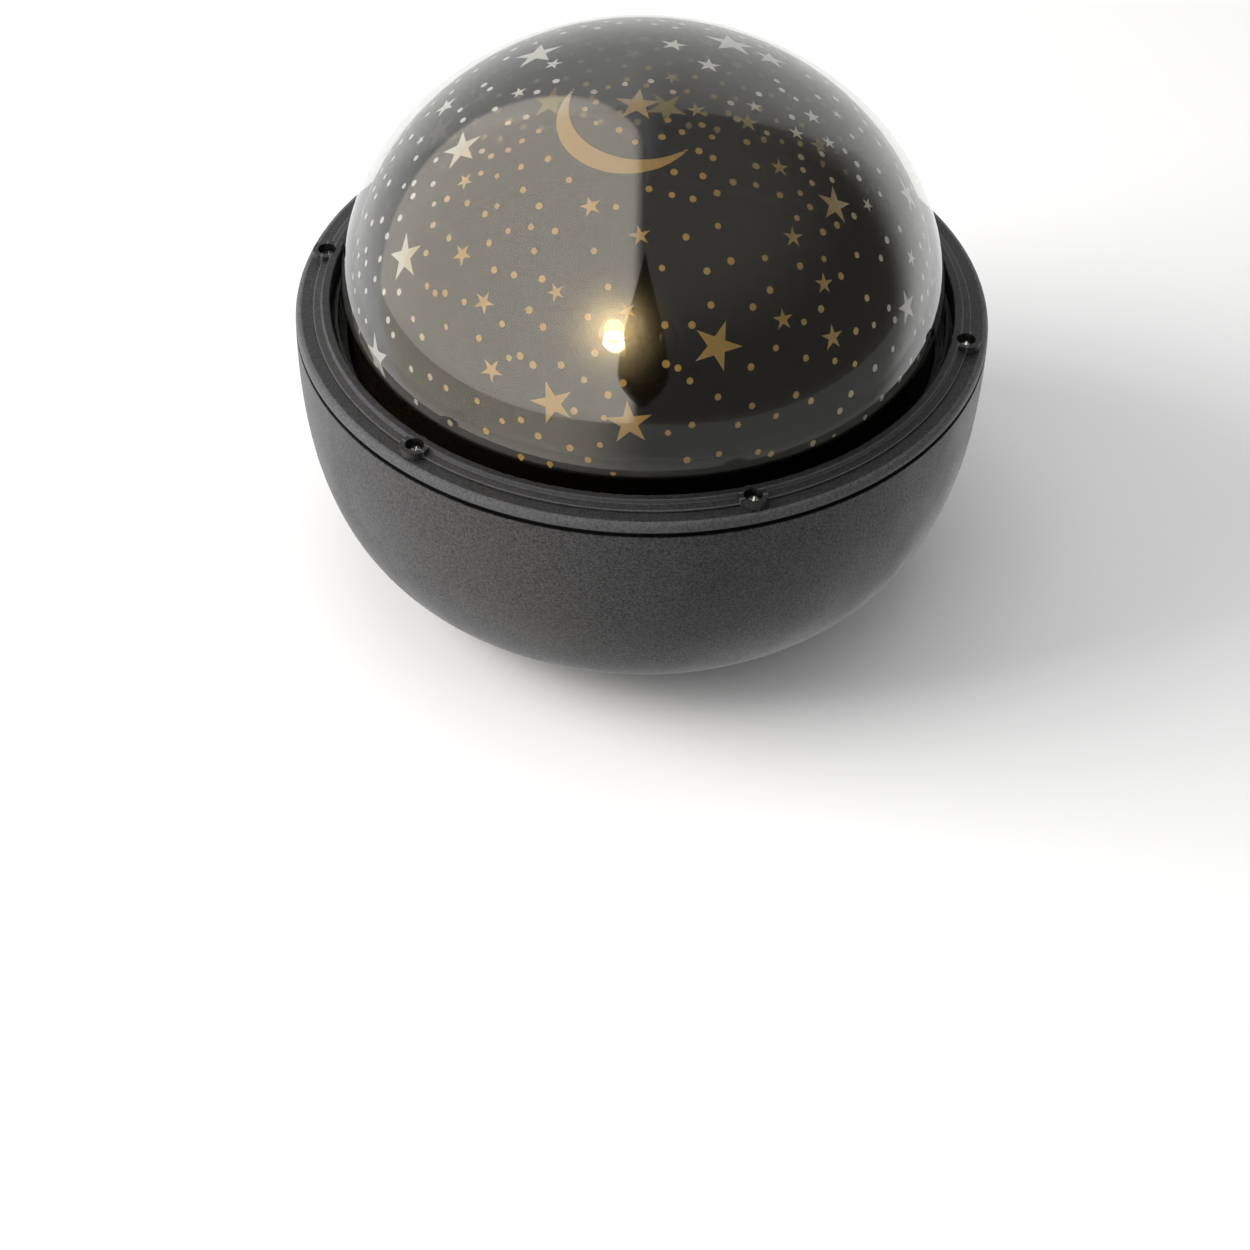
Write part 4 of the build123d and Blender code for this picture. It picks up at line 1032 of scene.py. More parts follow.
@dataclass
class StarPattern:
    """The windows of the star dome: a crescent moon, stars of several sizes and many round dots.

    The stars of the front are placed by the frame's pixels: a star's centre and one of its tips. The rest
    are spread by a seeded draw.
    """

    shape: DomeShape
    camera: StudioCamera
    seed: int = 11
    dot_radius: float = 0.00088
    dot_spacing: float = 0.0052
    star_reach: float = 1.35
    front_stars: tuple[tuple[float, float, float, float], ...] = (
        (461.3, 148.9, 463.1, 131.7),
        (464.8, 181.1, 470.9, 173.3),
        (404.6, 257.2, 406.7, 232.4),
        (462.0, 254.3, 468.9, 244.0),
        (445.5, 106.5, 457.0, 96.9),
        (420.4, 140.3, 425.1, 135.2),
        (518.6, 92.6, 526.5, 88.3),
        (483.5, 302.2, 489.2, 291.4),
        (491.4, 370.3, 497.8, 360.6),
        (376.6, 357.4, 374.5, 332.0),
        (552.3, 403.3, 545.5, 380.7),
        (637.6, 104.4, 640.2, 88.9),
        (696.5, 110.1, 693.9, 103.2),
        (590.3, 206.3, 587.4, 195.9),
        (639.8, 235.7, 637.6, 225.2),
        (555.9, 292.3, 552.7, 283.0),
        (717.3, 346.0, 725.9, 320.8),
        (629.0, 423.4, 626.9, 400.5),
        (626.9, 311.5, 634.0, 304.3),
        (779.5, 167.5, 778.1, 158.6),
        (834.7, 204.8, 832.6, 186.2),
        (793.1, 237.1, 792.0, 226.3),
        (824.0, 283.7, 822.8, 272.5),
        (754.7, 106.3, 753.0, 100.4),
        (812.5, 116.6, 809.6, 109.4),
        (836.9, 114.4, 831.1, 109.8),
        (796.7, 133.1, 795.3, 126.6),
        (829.0, 142.4, 834.7, 142.4),
        (867.7, 204.8, 862.7, 199.1),
        (907.9, 194.8, 898.6, 176.1),
        (911.5, 257.9, 907.2, 251.5),
        (783.1, 319.4, 781.6, 307.9),
        (832.6, 337.3, 831.1, 323.7),
        (907.2, 307.2, 903.6, 290.0),
        (537.3, 54.3, 541.7, 44.6),
        (553.4, 63.9, 557.8, 58.7),
        (730.9, 43.4, 726.5, 35.2),
        (673.7, 44.6, 676.6, 39.6),
        (708.9, 65.1, 708.9, 58.7),
        (770.4, 58.7, 769.0, 52.8),
    )
    front_dots: tuple[tuple[float, float], ...] = (
        (526, 117), (508, 123), (539, 131), (522, 141), (482, 151), (508, 150), (491, 156), (548, 159),
        (521, 167), (481, 173), (497, 176), (433, 184), (523, 190), (447, 199), (434, 204), (467, 203),
        (497, 206), (485, 214), (539, 206), (433, 225), (508, 231), (531, 227), (555, 231), (449, 238),
        (489, 243), (534, 251), (426, 253), (494, 270), (514, 275), (542, 279), (427, 286), (435, 293),
        (445, 293), (399, 292), (529, 310), (502, 324), (413, 319), (446, 327), (543, 327), (388, 320),
        (422, 337), (479, 338), (393, 335), (464, 302), (509, 358), (520, 356), (533, 365), (430, 377),
        (446, 388), (411, 369), (477, 401), (416, 402), (450, 423), (486, 431), (538, 436), (521, 457),
        (550, 464), (594, 92), (596, 102), (585, 109), (596, 123), (619, 130), (635, 142), (662, 137),
        (668, 120), (682, 132), (702, 125), (712, 137), (569, 180), (699, 151), (713, 158), (674, 172),
        (703, 176), (649, 189), (672, 195), (693, 199), (717, 193), (733, 182), (616, 207), (594, 251),
        (686, 237), (718, 226), (662, 268), (707, 271), (608, 287), (731, 261), (588, 317), (595, 353),
        (561, 365), (584, 380), (623, 383), (608, 395), (692, 325), (665, 325), (666, 364), (678, 368),
        (690, 381), (718, 397), (574, 411), (604, 418), (692, 425), (668, 433), (570, 448), (600, 445),
        (588, 460), (613, 475), (647, 478), (687, 460), (719, 454), (711, 305), (738, 425), (747, 142),
        (756, 166), (756, 185), (803, 170), (812, 183), (780, 195), (800, 193), (810, 207), (797, 218),
        (837, 225), (823, 232), (765, 258), (824, 259), (800, 266), (841, 276), (770, 290), (857, 255),
        (753, 307), (821, 309), (804, 322), (776, 348), (806, 358), (751, 367), (796, 395), (752, 406),
        (776, 416), (758, 452), (771, 454), (484, 85), (490, 89), (537, 92), (495, 109), (460, 110),
        (463, 120), (416, 158), (436, 160), (389, 183), (404, 186), (414, 183), (374, 189), (413, 196),
        (366, 216), (382, 220), (400, 218), (387, 236), (366, 250), (380, 259), (366, 263), (375, 279),
        (355, 291), (366, 291), (384, 292), (366, 321), (502, 421), (521, 420), (777, 81), (782, 90),
        (759, 94), (796, 99), (818, 97), (836, 99), (737, 119), (792, 117), (767, 133), (861, 130),
        (852, 136), (845, 151), (822, 154), (801, 157), (857, 164), (879, 171), (897, 166), (832, 180),
        (859, 178), (880, 194), (854, 216), (900, 229), (887, 240), (881, 258), (930, 249), (927, 264),
        (867, 298), (889, 308), (922, 298), (895, 320), (874, 325), (856, 331), (915, 333), (925, 340),
        (893, 349), (911, 361), (835, 361), (855, 364), (875, 368), (900, 379), (851, 394), (882, 398),
        (811, 401), (840, 411), (865, 418), (834, 437), (813, 443), (799, 455), (749, 468), (556, 81),
        (625, 84), (651, 81), (673, 92), (731, 103),
    )
    moon_outer: tuple[tuple[float, float], ...] = (
        (578, 84), (559, 113), (563, 143), (587, 166), (626, 175), (664, 166), (687, 149),
    )
    moon_inner: tuple[tuple[float, float], ...] = (
        (578, 84), (570, 109), (580, 137), (606, 154), (643, 159), (678, 153), (687, 149),
    )
    hidden_facing: float = 0.16
    sparse_facing: float = 0.40
    back_star_radii: tuple[float, ...] = (0.0056, 0.0030, 0.0024)
    back_star_counts: tuple[int, ...] = (13, 26, 30)
    back_dot_count: int = 900
    draws_each: int = 60
    moon_span: float = 0.035
    star_room: float = 0.003
    star_room_at_moon: float = 0.012
    star_pitch: float = 0.006
    dot_room_at_star: float = 0.0022
    dot_room_at_moon: float = 0.0075
    empty: tuple[float, float, float] = (9.0, 9.0, 1.0)
    block: int = 8192

    def on_dome(self, pixels: Sequence[Sequence[float]]) -> np.ndarray:
        """Places on the dome that the camera sees at these pixels."""
        return self.shape.hits(self.camera.eye(), self.camera.rays(np.asarray(pixels, float)))

    def tangents(self, centre: np.ndarray, toward: np.ndarray) -> tuple[np.ndarray, np.ndarray]:
        """Two unit directions in the dome's tangent plane.

        Args:
            centre: A place on the dome.
            toward: A place or direction that the first one points along.

        Returns:
            The first direction and the one across it.
        """
        normal = self.shape.normals(centre[None])[0]
        first = toward - normal * (toward @ normal)
        first /= np.linalg.norm(first)
        return first, np.cross(normal, first)

    def star_place(
        self, points: np.ndarray, centre: np.ndarray, tip: np.ndarray, radius: float
    ) -> np.ndarray:
        """Flat places of points in a star's tangent plane, in its radii, with one tip along the first axis.

        Args:
            points: Places on the dome, one row each.
            centre: The star's centre.
            tip: A direction from the centre toward one tip.
            radius: From the centre to a tip.

        Returns:
            Rows of the two flat coordinates and the radius in millimetres.
        """
        first, across = self.tangents(centre, tip)
        away = (points - centre) / radius
        return np.column_stack([away @ first, away @ across, np.full(len(points), radius / MM)])

    @staticmethod
    def circle_through(places: np.ndarray) -> tuple[np.ndarray, float]:
        """The circle nearest to flat places, by least squares on x^2 + y^2.

        Args:
            places: Rows of two flat coordinates.

        Returns:
            The circle's centre and radius.
        """
        terms = np.column_stack([2 * places, np.ones(len(places))])
        found = np.linalg.lstsq(terms, (places ** 2).sum(1), rcond=None)[0]
        return found[:2], math.sqrt(found[2] + found[:2] @ found[:2])

    def moon_gap(self, points: np.ndarray) -> np.ndarray:
        """Distance to the crescent's edge: inside its outer circle and outside its inner one.

        Args:
            points: Places on the dome, one row each.

        Returns:
            Distances in metres, below zero inside, and 1 away from the moon.
        """
        outer, inner = self.on_dome(self.moon_outer), self.on_dome(self.moon_inner)
        centre = outer.mean(0)
        first, across = self.tangents(centre, outer[-1] - outer[0])
        axes = np.column_stack([first, across])
        flat = (points - centre) @ axes
        gaps = []
        for places in (outer, inner):
            middle, radius = self.circle_through((places - centre) @ axes)
            gaps.append(np.hypot(*(flat - middle).T) - radius)
        near = np.linalg.norm(points - centre, axis=1) < self.moon_span
        return np.where(near, np.maximum(gaps[0], -gaps[1]), 1.0)

    def scattered(self, rng: np.random.Generator, count: int) -> np.ndarray:
        """Places drawn evenly over the dome: even in angle, and in height by the equal-area rule."""
        share = np.arcsin(rng.uniform(0.0, 0.995, count)) / (np.pi / 2)
        return self.shape.surface(share, rng.uniform(0, 2 * np.pi, count))

    def spread(
        self, rng: np.random.Generator, count: int, room: float, taken: np.ndarray, taken_room: np.ndarray
    ) -> np.ndarray:
        """Places drawn in turn and kept when they stand clear of those kept before.

        Args:
            rng: The seeded source.
            count: How many to keep at most.
            room: The least distance between two of them.
            taken: Places already in use.
            taken_room: The distance that each of those needs.

        Returns:
            The kept places.
        """
        kept = np.empty((0, 3))
        for place in self.scattered(rng, self.draws_each * count):
            if len(kept) == count:
                break
            clear_of_taken = (np.linalg.norm(taken - place, axis=1) > taken_room).all()
            if clear_of_taken and (np.linalg.norm(kept - place, axis=1) > room).all():
                kept = np.vstack([kept, place])
        return kept

    def stars(self, rng: np.random.Generator) -> tuple[np.ndarray, np.ndarray, np.ndarray]:
        """Every star: the placed ones of the front and the drawn ones of the back.

        Args:
            rng: The seeded source.

        Returns:
            Centres, directions toward a tip, and radii.
        """
        placed = np.array(self.front_stars)
        centres, tips = self.on_dome(placed[:, :2]), self.on_dome(placed[:, 2:])
        directions, radii = tips - centres, np.linalg.norm(tips - centres, axis=1)
        moon = self.on_dome(self.moon_outer + self.moon_inner)
        for radius, count in zip(self.back_star_radii, self.back_star_counts):
            taken = np.vstack([centres, moon])
            moon_room = np.full(len(moon), radius + self.star_room_at_moon)
            room = np.concatenate([radii + radius + self.star_room, moon_room])
            extra = self.spread(rng, count, 3.2 * radius + self.star_pitch, taken, room)
            extra = extra[self.shape.normals(extra) @ self.camera.axes()[2] < self.hidden_facing]
            centres = np.vstack([centres, extra])
            radii = np.concatenate([radii, np.full(len(extra), radius)])
            directions = np.vstack([directions, rng.normal(size=(len(extra), 3))])
        return centres, directions, radii

    def lay_out(self, points: np.ndarray) -> tuple[np.ndarray, np.ndarray, np.ndarray]:
        """Lay the whole pattern over places on the dome.

        Args:
            points: Places on the dome's outer face, one row each.

        Returns:
            Distances to the nearest dot's or moon's edge in metres, the places in the nearest star, and
            that star's number, or 0 where no star is near.
        """
        rng = np.random.default_rng(self.seed)
        centres, directions, radii = self.stars(rng)
        place, near = np.tile(self.empty, (len(points), 1)), np.zeros(len(points))
        nearest = np.full(len(points), self.star_reach)
        for number, (centre, direction, radius) in enumerate(zip(centres, directions, radii), 1):
            reach = np.linalg.norm(points - centre, axis=1) / radius
            close = reach < nearest
            place[close] = self.star_place(points[close], centre, direction, radius)
            near[close], nearest[close] = number, reach[close]
        gap = self.moon_gap(points)
        moon, placed = self.on_dome(self.moon_outer + self.moon_inner), self.on_dome(self.front_dots)
        taken = np.vstack([centres, moon, placed])
        room = np.concatenate([
            radii + self.dot_room_at_star,
            np.full(len(moon), self.dot_room_at_moon),
            np.full(len(placed), self.dot_spacing),
        ])
        dots = self.spread(rng, self.back_dot_count, self.dot_spacing, taken, room)
        dots = dots[self.shape.normals(dots) @ self.camera.axes()[2] < self.sparse_facing]
        dots = np.vstack([placed, dots])
        sizes = self.dot_radius * rng.uniform(0.88, 1.08, len(dots))
        for start in range(0, len(points), self.block):
            part = slice(start, start + self.block)
            reach = np.linalg.norm(points[part, None] - dots[None], axis=2) - sizes
            gap[part] = np.minimum(gap[part], reach.min(1))
        LOG.info("windows: one moon, %d stars and %d dots", len(centres), len(dots))
        return gap, place, near


@dataclass
class StarDome:
    """The turning star dome: a clear shell with its print on the outside."""

    outer: DomeShape = field(default_factory=lambda: DomeShape(0.0719, 0.06315, 0.0755, 0.058))
    wall: float = 0.001
    cells: int = 296
    skirt_rows: int = 3
    inner_rows: int = 18
    inner_steps: int = 96
    inner_top: float = 0.998
    farthest_edge: float = 3.0

    def square_to_dome(self) -> np.ndarray:
        """A square grid wrapped over the dome.

        Each square ring of the grid becomes a circle: the larger of the two grid coordinates gives the
        way from the top down by the equal-area rule, and the other gives the angle within its quarter.

        Returns:
            Places on the outer face, one row each.
        """
        line = np.linspace(-1.0, 1.0, self.cells + 1)
        u, v = np.meshgrid(line, line, indexing="ij")
        wide = np.abs(u) >= np.abs(v)
        reach = np.where(wide, u, v)
        other = np.where(wide, v, u)
        turn = np.pi / 4 * np.divide(other, reach, out=np.zeros_like(reach), where=reach != 0)
        angle = np.where(wide, turn, np.pi / 2 - turn) + np.where(reach < 0, np.pi, 0.0)
        down = 2 * np.arcsin(np.clip(np.abs(reach) * math.sin(math.pi / 4), 0, 1))
        return self.outer.surface(1 - down / (np.pi / 2), angle).reshape(-1, 3)

    def rim_order(self) -> np.ndarray:
        """The way round the square grid's border, counter-clockwise from above.

        Returns:
            Indices of the border's points.
        """
        n = self.cells + 1
        index = np.arange(n * n).reshape(n, n)
        return np.concatenate([index[:-1, 0], index[-1, :-1], index[:0:-1, -1], index[0, :0:-1]])

    def build(self, pattern: StarPattern) -> bpy.types.Object:
        """Build the dome and put the pattern on it.

        Args:
            pattern: The windows.

        Returns:
            The star dome, riding on its carrier in place of the plain node.
        """
        top = self.square_to_dome()
        rim = self.rim_order()
        ring = top[rim]
        levels = np.linspace(self.outer.plane, self.outer.foot, self.skirt_rows + 1)[1:]
        skirt = np.vstack([np.column_stack([ring[:, :2], np.full(len(ring), z)]) for z in levels])
        outer_points = np.vstack([top, skirt])
        n = self.cells + 1
        top_quads = grid_quads(n, n)[:, ::-1]
        rows = np.vstack([rim[None], len(top) + np.arange(len(skirt)).reshape(self.skirt_rows, -1)])
        after = np.roll(rows, -1, axis=1)
        skirt_quads = np.stack([rows[:-1], rows[1:], after[1:], after[:-1]], -1).reshape(-1, 4)
        inner = self.outer.shrunk(self.wall)
        share = np.linspace(0, self.inner_top, self.inner_rows)
        inner_points = inner.surface(share[:, None], round_steps(self.inner_steps)[None]).reshape(-1, 3)
        foot = inner_points[: self.inner_steps].copy()
        foot[:, 2] = self.outer.foot
        inner_points = np.vstack([foot, inner_points])
        inner_quads = grid_quads(self.inner_rows + 1, self.inner_steps, len(outer_points), wrap=True)
        points = np.vstack([outer_points, inner_points])
        quads = np.vstack([top_quads, skirt_quads, inner_quads[:, ::-1]])
        slots = np.zeros(len(quads), int)
        slots[len(top_quads) + len(skirt_quads):] = 1
        finishes = [StarPrint().build(), ClearShell().build()]
        dome = mesh_piece("star_print_dome", points, quads, finishes, slots)
        gap, place, near = pattern.lay_out(top)
        rest = len(points) - len(top)
        far = self.farthest_edge
        edge = np.concatenate([np.clip(gap / MM, -far, far), np.full(rest, far)])
        near = np.concatenate([near, np.zeros(rest)])
        for name, values in (("window_edge", edge), ("star_near", near)):
            attribute = dome.data.attributes.new(name, "FLOAT", "POINT")
            attribute.data.foreach_set("value", values.astype(np.float32))
        place = np.vstack([place, np.tile(pattern.empty, (rest, 1))])
        attribute = dome.data.attributes.new("star_place", "FLOAT_VECTOR", "POINT")
        attribute.data.foreach_set("vector", place.astype(np.float32).ravel())
        steady_normals(dome, slice(0, len(top)), self.outer.normals(top))
        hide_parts("star_dome")
        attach(dome, Body.STARS.value)
        return dome


@dataclass
class CoverDome:
    """The fixed clear cover: two smooth skins over a flange that the bezel holds down.

    A low shoulder, as wide as it is high, stands on the flange round the wall.
    """

    outer: DomeShape = field(default_factory=lambda: DomeShape(0.0742, 0.06545, 0.0755, 0.0642))
    wall: float = 0.0016
    flange_radius: float = 0.0817
    flange_top: float = 0.0662
    shoulder: float = 0.0012
    notch_radius: float = 0.0039
    notch_circle: float = 0.08045
    notches: int = 6
    steps: int = 288
    rows: int = 72
    shoulder_rows: int = 6

    def flange_edge(self, angle: np.ndarray) -> np.ndarray:
        """The flange's radius round Z: its circle, cut back by the round notch at each screw pillar.

        Args:
            angle: Round Z, in radians.

        Returns:
            The radius at each angle.
        """
        pitch = 2 * np.pi / self.notches
        offset = (angle + pitch / 2) % pitch - pitch / 2
        reach, across = self.notch_circle * np.cos(offset), self.notch_circle * np.sin(offset)
        inside = self.notch_radius ** 2 - across ** 2
        cut = reach - np.sqrt(np.maximum(inside, 0.0))
        return np.where(inside > 0, np.minimum(self.flange_radius, cut), self.flange_radius)

    @staticmethod
    def ring(radius: np.ndarray, height: np.ndarray, angle: np.ndarray) -> np.ndarray:
        """Circles round Z: a grid of points, by the height and then by the angle."""
        return np.stack(np.broadcast_arrays(radius * np.cos(angle), radius * np.sin(angle), height), -1)

    def build(self) -> bpy.types.Object:
        """Build the cover.

        Returns:
            The cover, riding on the base in place of the plain node.
        """
        angle = round_steps(self.steps)
        share = np.linspace(0, 1, self.rows, endpoint=False)[:, None]
        dome = self.outer.surface(share, angle[None])
        turn = np.linspace(0, np.pi / 2, self.shoulder_rows)[:, None]
        climb = self.shoulder * (1 - np.sin(turn))
        shoulder = self.ring(self.outer.radius + climb, self.flange_top + climb, angle)
        rim = self.ring(self.flange_edge(angle), np.array([[self.outer.foot], [self.flange_top]]), angle)
        lining = self.outer.shrunk(self.wall).surface(share, angle[None])[::-1]
        foot = lining[-1:].copy()
        foot[..., 2] = self.outer.foot
        skin = np.concatenate([rim, shoulder, dome])
        lining = np.concatenate([lining, foot, rim[:1]])
        top = self.outer.plane + self.outer.rise
        poles = np.array([[0, 0, top], [0, 0, top - self.wall]])
        points = np.vstack([skin.reshape(-1, 3), lining.reshape(-1, 3), poles])
        skin_count = skin.shape[0] * self.steps
        skin_quads = grid_quads(len(skin), self.steps, wrap=True)
        lining_quads = grid_quads(len(lining), self.steps, skin_count, wrap=True)
        column = np.arange(self.steps)
        after = (column + 1) % self.steps
        last = skin_count - self.steps
        top_cap = np.column_stack([last + column, last + after, np.full(self.steps, len(points) - 2)])
        low_cap = skin_count + np.column_stack([after, column])
        low_cap = np.column_stack([low_cap, np.full(self.steps, len(points) - 1)])
        faces = [face for part in (skin_quads, lining_quads, top_cap, low_cap) for face in part.tolist()]
        slots = np.ones(len(faces))
        slots[(len(rim) + len(shoulder) - 1) * self.steps:len(skin_quads)] = 0
        slots[-2 * self.steps:-self.steps] = 0
        finishes = [ClearCover().build(), ClearShell("cover_lining_acrylic", rgba(0.97, 0.97, 0.96)).build()]
        cover = mesh_piece("clear_cover_dome", points, faces, finishes, slots)
        dome_rows = slice(skin_count - dome.shape[0] * self.steps, skin_count)
        steady_normals(cover, dome_rows, self.outer.normals(dome).reshape(-1, 3))
        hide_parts("outer_dome")
        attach(cover, Body.BASE.value)
        return cover


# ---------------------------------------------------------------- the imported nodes, by sub-assembly


Finish = Moulded | ShellPlastic | Metal | Epoxy | LampSeatPaintedGlow | CircuitBoard | CellJacket


def dress(finish: Finish, *nodes: str) -> None:
    """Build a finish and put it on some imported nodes.

    Args:
        finish: The finish.
        nodes: The nodes' names.
    """
    material = finish.build()
    for node in nodes:
        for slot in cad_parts[node].material_slots:
            slot.material = material
    LOG.info("%s on %s", finish.name, ", ".join(nodes))


def polished(finish_name: str, red: float, green: float, blue: float, roughness: float = 0.35) -> Moulded:
    """A smooth moulded plastic with hardly any grain."""
    return Moulded(finish_name, rgba(red, green, blue), roughness, grain_depth=0.00001, speckle=0.06)


def dull(finish_name: str, colour: Rgba, roughness: float, specular: float = 0.3) -> Moulded:
    """A dull near-black plastic, for what lies under the domes."""
    return Moulded(finish_name, colour, roughness, grain_depth=0.00002, specular=specular)


def resin(finish_name: str) -> Moulded:
    """The black resin of switches and chips."""
    return Moulded(finish_name, grey(0.010), 0.4, grain_depth=0.00001)


def zinc(finish_name: str, roughness: float = 0.16) -> Metal:
    """A screw's bright zinc plating."""
    return Metal(finish_name, rgba(0.62, 0.62, 0.63), roughness)


def finish_of(node: str) -> bpy.types.Material:
    """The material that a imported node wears."""
    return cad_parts[node].material_slots[0].material


def trim(
    name: str, grids: Sequence[np.ndarray], material: bpy.types.Material, body: Body
) -> bpy.types.Object:
    """A small piece of equal closed grids that rides on a body.

    Args:
        name: The piece's name.
        grids: Grids of points, each along its part and then round it.
        material: The finish of what it stands on.
        body: What it rides on.

    Returns:
        The piece.
    """
    rows, steps = grids[0].shape[:2]
    quads = [grid_quads(rows, steps, number * rows * steps, wrap=True) for number in range(len(grids))]
    piece = mesh_piece(name, np.concatenate(grids).reshape(-1, 3), np.vstack(quads), [material])
    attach(piece, body.value)
    return piece


@dataclass
class Shell:
    """The bowl, the bezel and its screws, the gasket, the feet and the battery door with its grip."""

    plastic: ShellPlastic = ShellPlastic()
    ridge_count: int = 6
    ridge_pitch: float = 0.0022
    ridge_length: float = 0.018
    ridge_radius: float = 0.0006
    ridge_sink: float = 0.0001
    ridge_inset: float = 0.010
    ridge_steps: int = 20

    def ridge(self, y: float, x: float, z: float) -> np.ndarray:
        """One rounded bar along X: its radius grows and falls as the fourth root of 1 - (place along it)^4.

        Args:
            y: The bar's place across.
            x: The middle of the bar.
            z: The height of its axis.

        Returns:
            A grid of points, along the bar and then round it.
        """
        share = np.linspace(-1.0, 1.0, 2 * self.ridge_steps + 1)[:, None]
        turn = round_steps(self.ridge_steps)[None]
        radius = self.ridge_radius * np.maximum(1 - share ** 4, 1e-6) ** 0.25
        along = x + share * self.ridge_length / 2
        grid = np.broadcast_arrays(along, y - radius * np.cos(turn), z + radius * np.sin(turn))
        return np.stack(grid, -1)

    def build(self) -> None:
        """Dress the shell's nodes and put the grip ridges on the battery door."""
        dress(self.plastic, "base_bowl", "bezel_ring", "battery_door")
        dress(Moulded("gasket_rubber", grey(0.006), 0.7, grain=1400.0), "dome_gasket")
        dress(Moulded("foot_rubber", grey(0.012), 0.7, grain=1600.0), "rubber_feet")
        dress(zinc("bezel_screw_zinc", 0.11), "bezel_screws", "door_screws")
        low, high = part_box("battery_door")
        first = high.y - self.ridge_inset
        bars = [
            self.ridge(first - number * self.ridge_pitch, (low.x + high.x) / 2, low.z + self.ridge_sink)
            for number in range(self.ridge_count)
        ]
        trim("battery_door_grip", bars, finish_of("battery_door"), Body.DOOR)


@dataclass
class Controls:
    """The three buttons, each with a raised mark: a dome for light, pips for colour, an arc for spin."""

    mark_sink: float = 0.00005
    cap_rows: int = 12
    cap_steps: int = 32
    dome_radius: float = 0.0012
    dome_rise: float = 0.00042
    pip_radius: float = 0.00062
    pip_rise: float = 0.00036
    pip_circle: float = 0.00155
    arc_radius: float = 0.0018
    arc_thin: float = 0.00016
    arc_thick: float = 0.00040
    arc_rows: int = 61
    arc_steps: int = 16
    arc_start: float = math.radians(-20.0)
    arc_turn: float = math.radians(285.0)

    def face(self, node: str) -> np.ndarray:
        """The middle of a button's outer face."""
        low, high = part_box(node)
        return np.array([(low.x + high.x) / 2, high.y, (low.z + high.z) / 2])

    def caps(self, node: str, places: np.ndarray, radius: float, rise: float) -> list[np.ndarray]:
        """Low caps on a button's face: a short wall under a quarter ellipse, turned about Y.

        Args:
            node: The button.
            places: Rows of x and z from the middle of the face.
            radius: Each cap's radius.
            rise: How far it stands out.

        Returns:
            One grid of points for each cap.
        """
        climb = np.linspace(0, np.pi / 2, self.cap_rows)
        arch = np.column_stack([np.maximum(radius * np.cos(climb), 1e-6), rise * np.sin(climb)])
        profile = np.vstack([[radius, -self.mark_sink], arch])
        reach, angle = profile[:, :1], round_steps(self.cap_steps)
        grid = np.broadcast_arrays(reach * np.cos(angle), profile[:, 1:], -reach * np.sin(angle))
        return [np.stack(grid, -1) + self.face(node) + np.array([x, 0.0, z]) for x, z in places]

    def arc(self, node: str) -> list[np.ndarray]:
        """An open ring that thickens along its way: a round tube whose radius grows evenly from end to end.

        Args:
            node: The button.

        Returns:
            Its one grid of points.
        """
        share = np.linspace(0.0, 1.0, self.arc_rows)[:, None]
        turn = round_steps(self.arc_steps)[None]
        ends = np.maximum(1 - (2 * share - 1) ** 16, 1e-6) ** 0.5
        tube = (self.arc_thin + (self.arc_thick - self.arc_thin) * share) * ends
        angle = self.arc_start + self.arc_turn * share
        reach = self.arc_radius + tube * np.cos(turn)
        grid = np.broadcast_arrays(reach * np.cos(angle), tube * np.sin(turn), reach * np.sin(angle))
        return [np.stack(grid, -1) + self.face(node) - np.array([0.0, self.mark_sink, 0.0])]

    def build(self) -> None:
        """Dress the controls' nodes and add the marks."""
        button = Moulded("button_plastic", rgba(0.030, 0.030, 0.033), 0.38, grain_depth=0.00002)
        acetal = polished("plunger_acetal", 0.55, 0.50, 0.36)
        dress(button, "light_button", "colour_button", "spin_button")
        dress(acetal, "light_plunger", "colour_plunger", "spin_plunger")
        dress(resin("tact_switch_resin"), "tact_switches")
        dress(CircuitBoard("switch_board_green"), "switch_board")
        thirds = np.radians([90.0, 210.0, 330.0])
        triangle = self.pip_circle * np.column_stack([np.cos(thirds), np.sin(thirds)])
        dome = self.caps("light_button", np.zeros((1, 2)), self.dome_radius, self.dome_rise)
        pips = self.caps("colour_button", triangle, self.pip_radius, self.pip_rise)
        plastic = finish_of("light_button")
        trim("light_button_mark", dome, plastic, Body.LIGHT_KEY)
        trim("colour_button_mark", pips, plastic, Body.COLOUR_KEY)
        trim("spin_button_mark", self.arc("spin_button"), plastic, Body.SPIN_KEY)


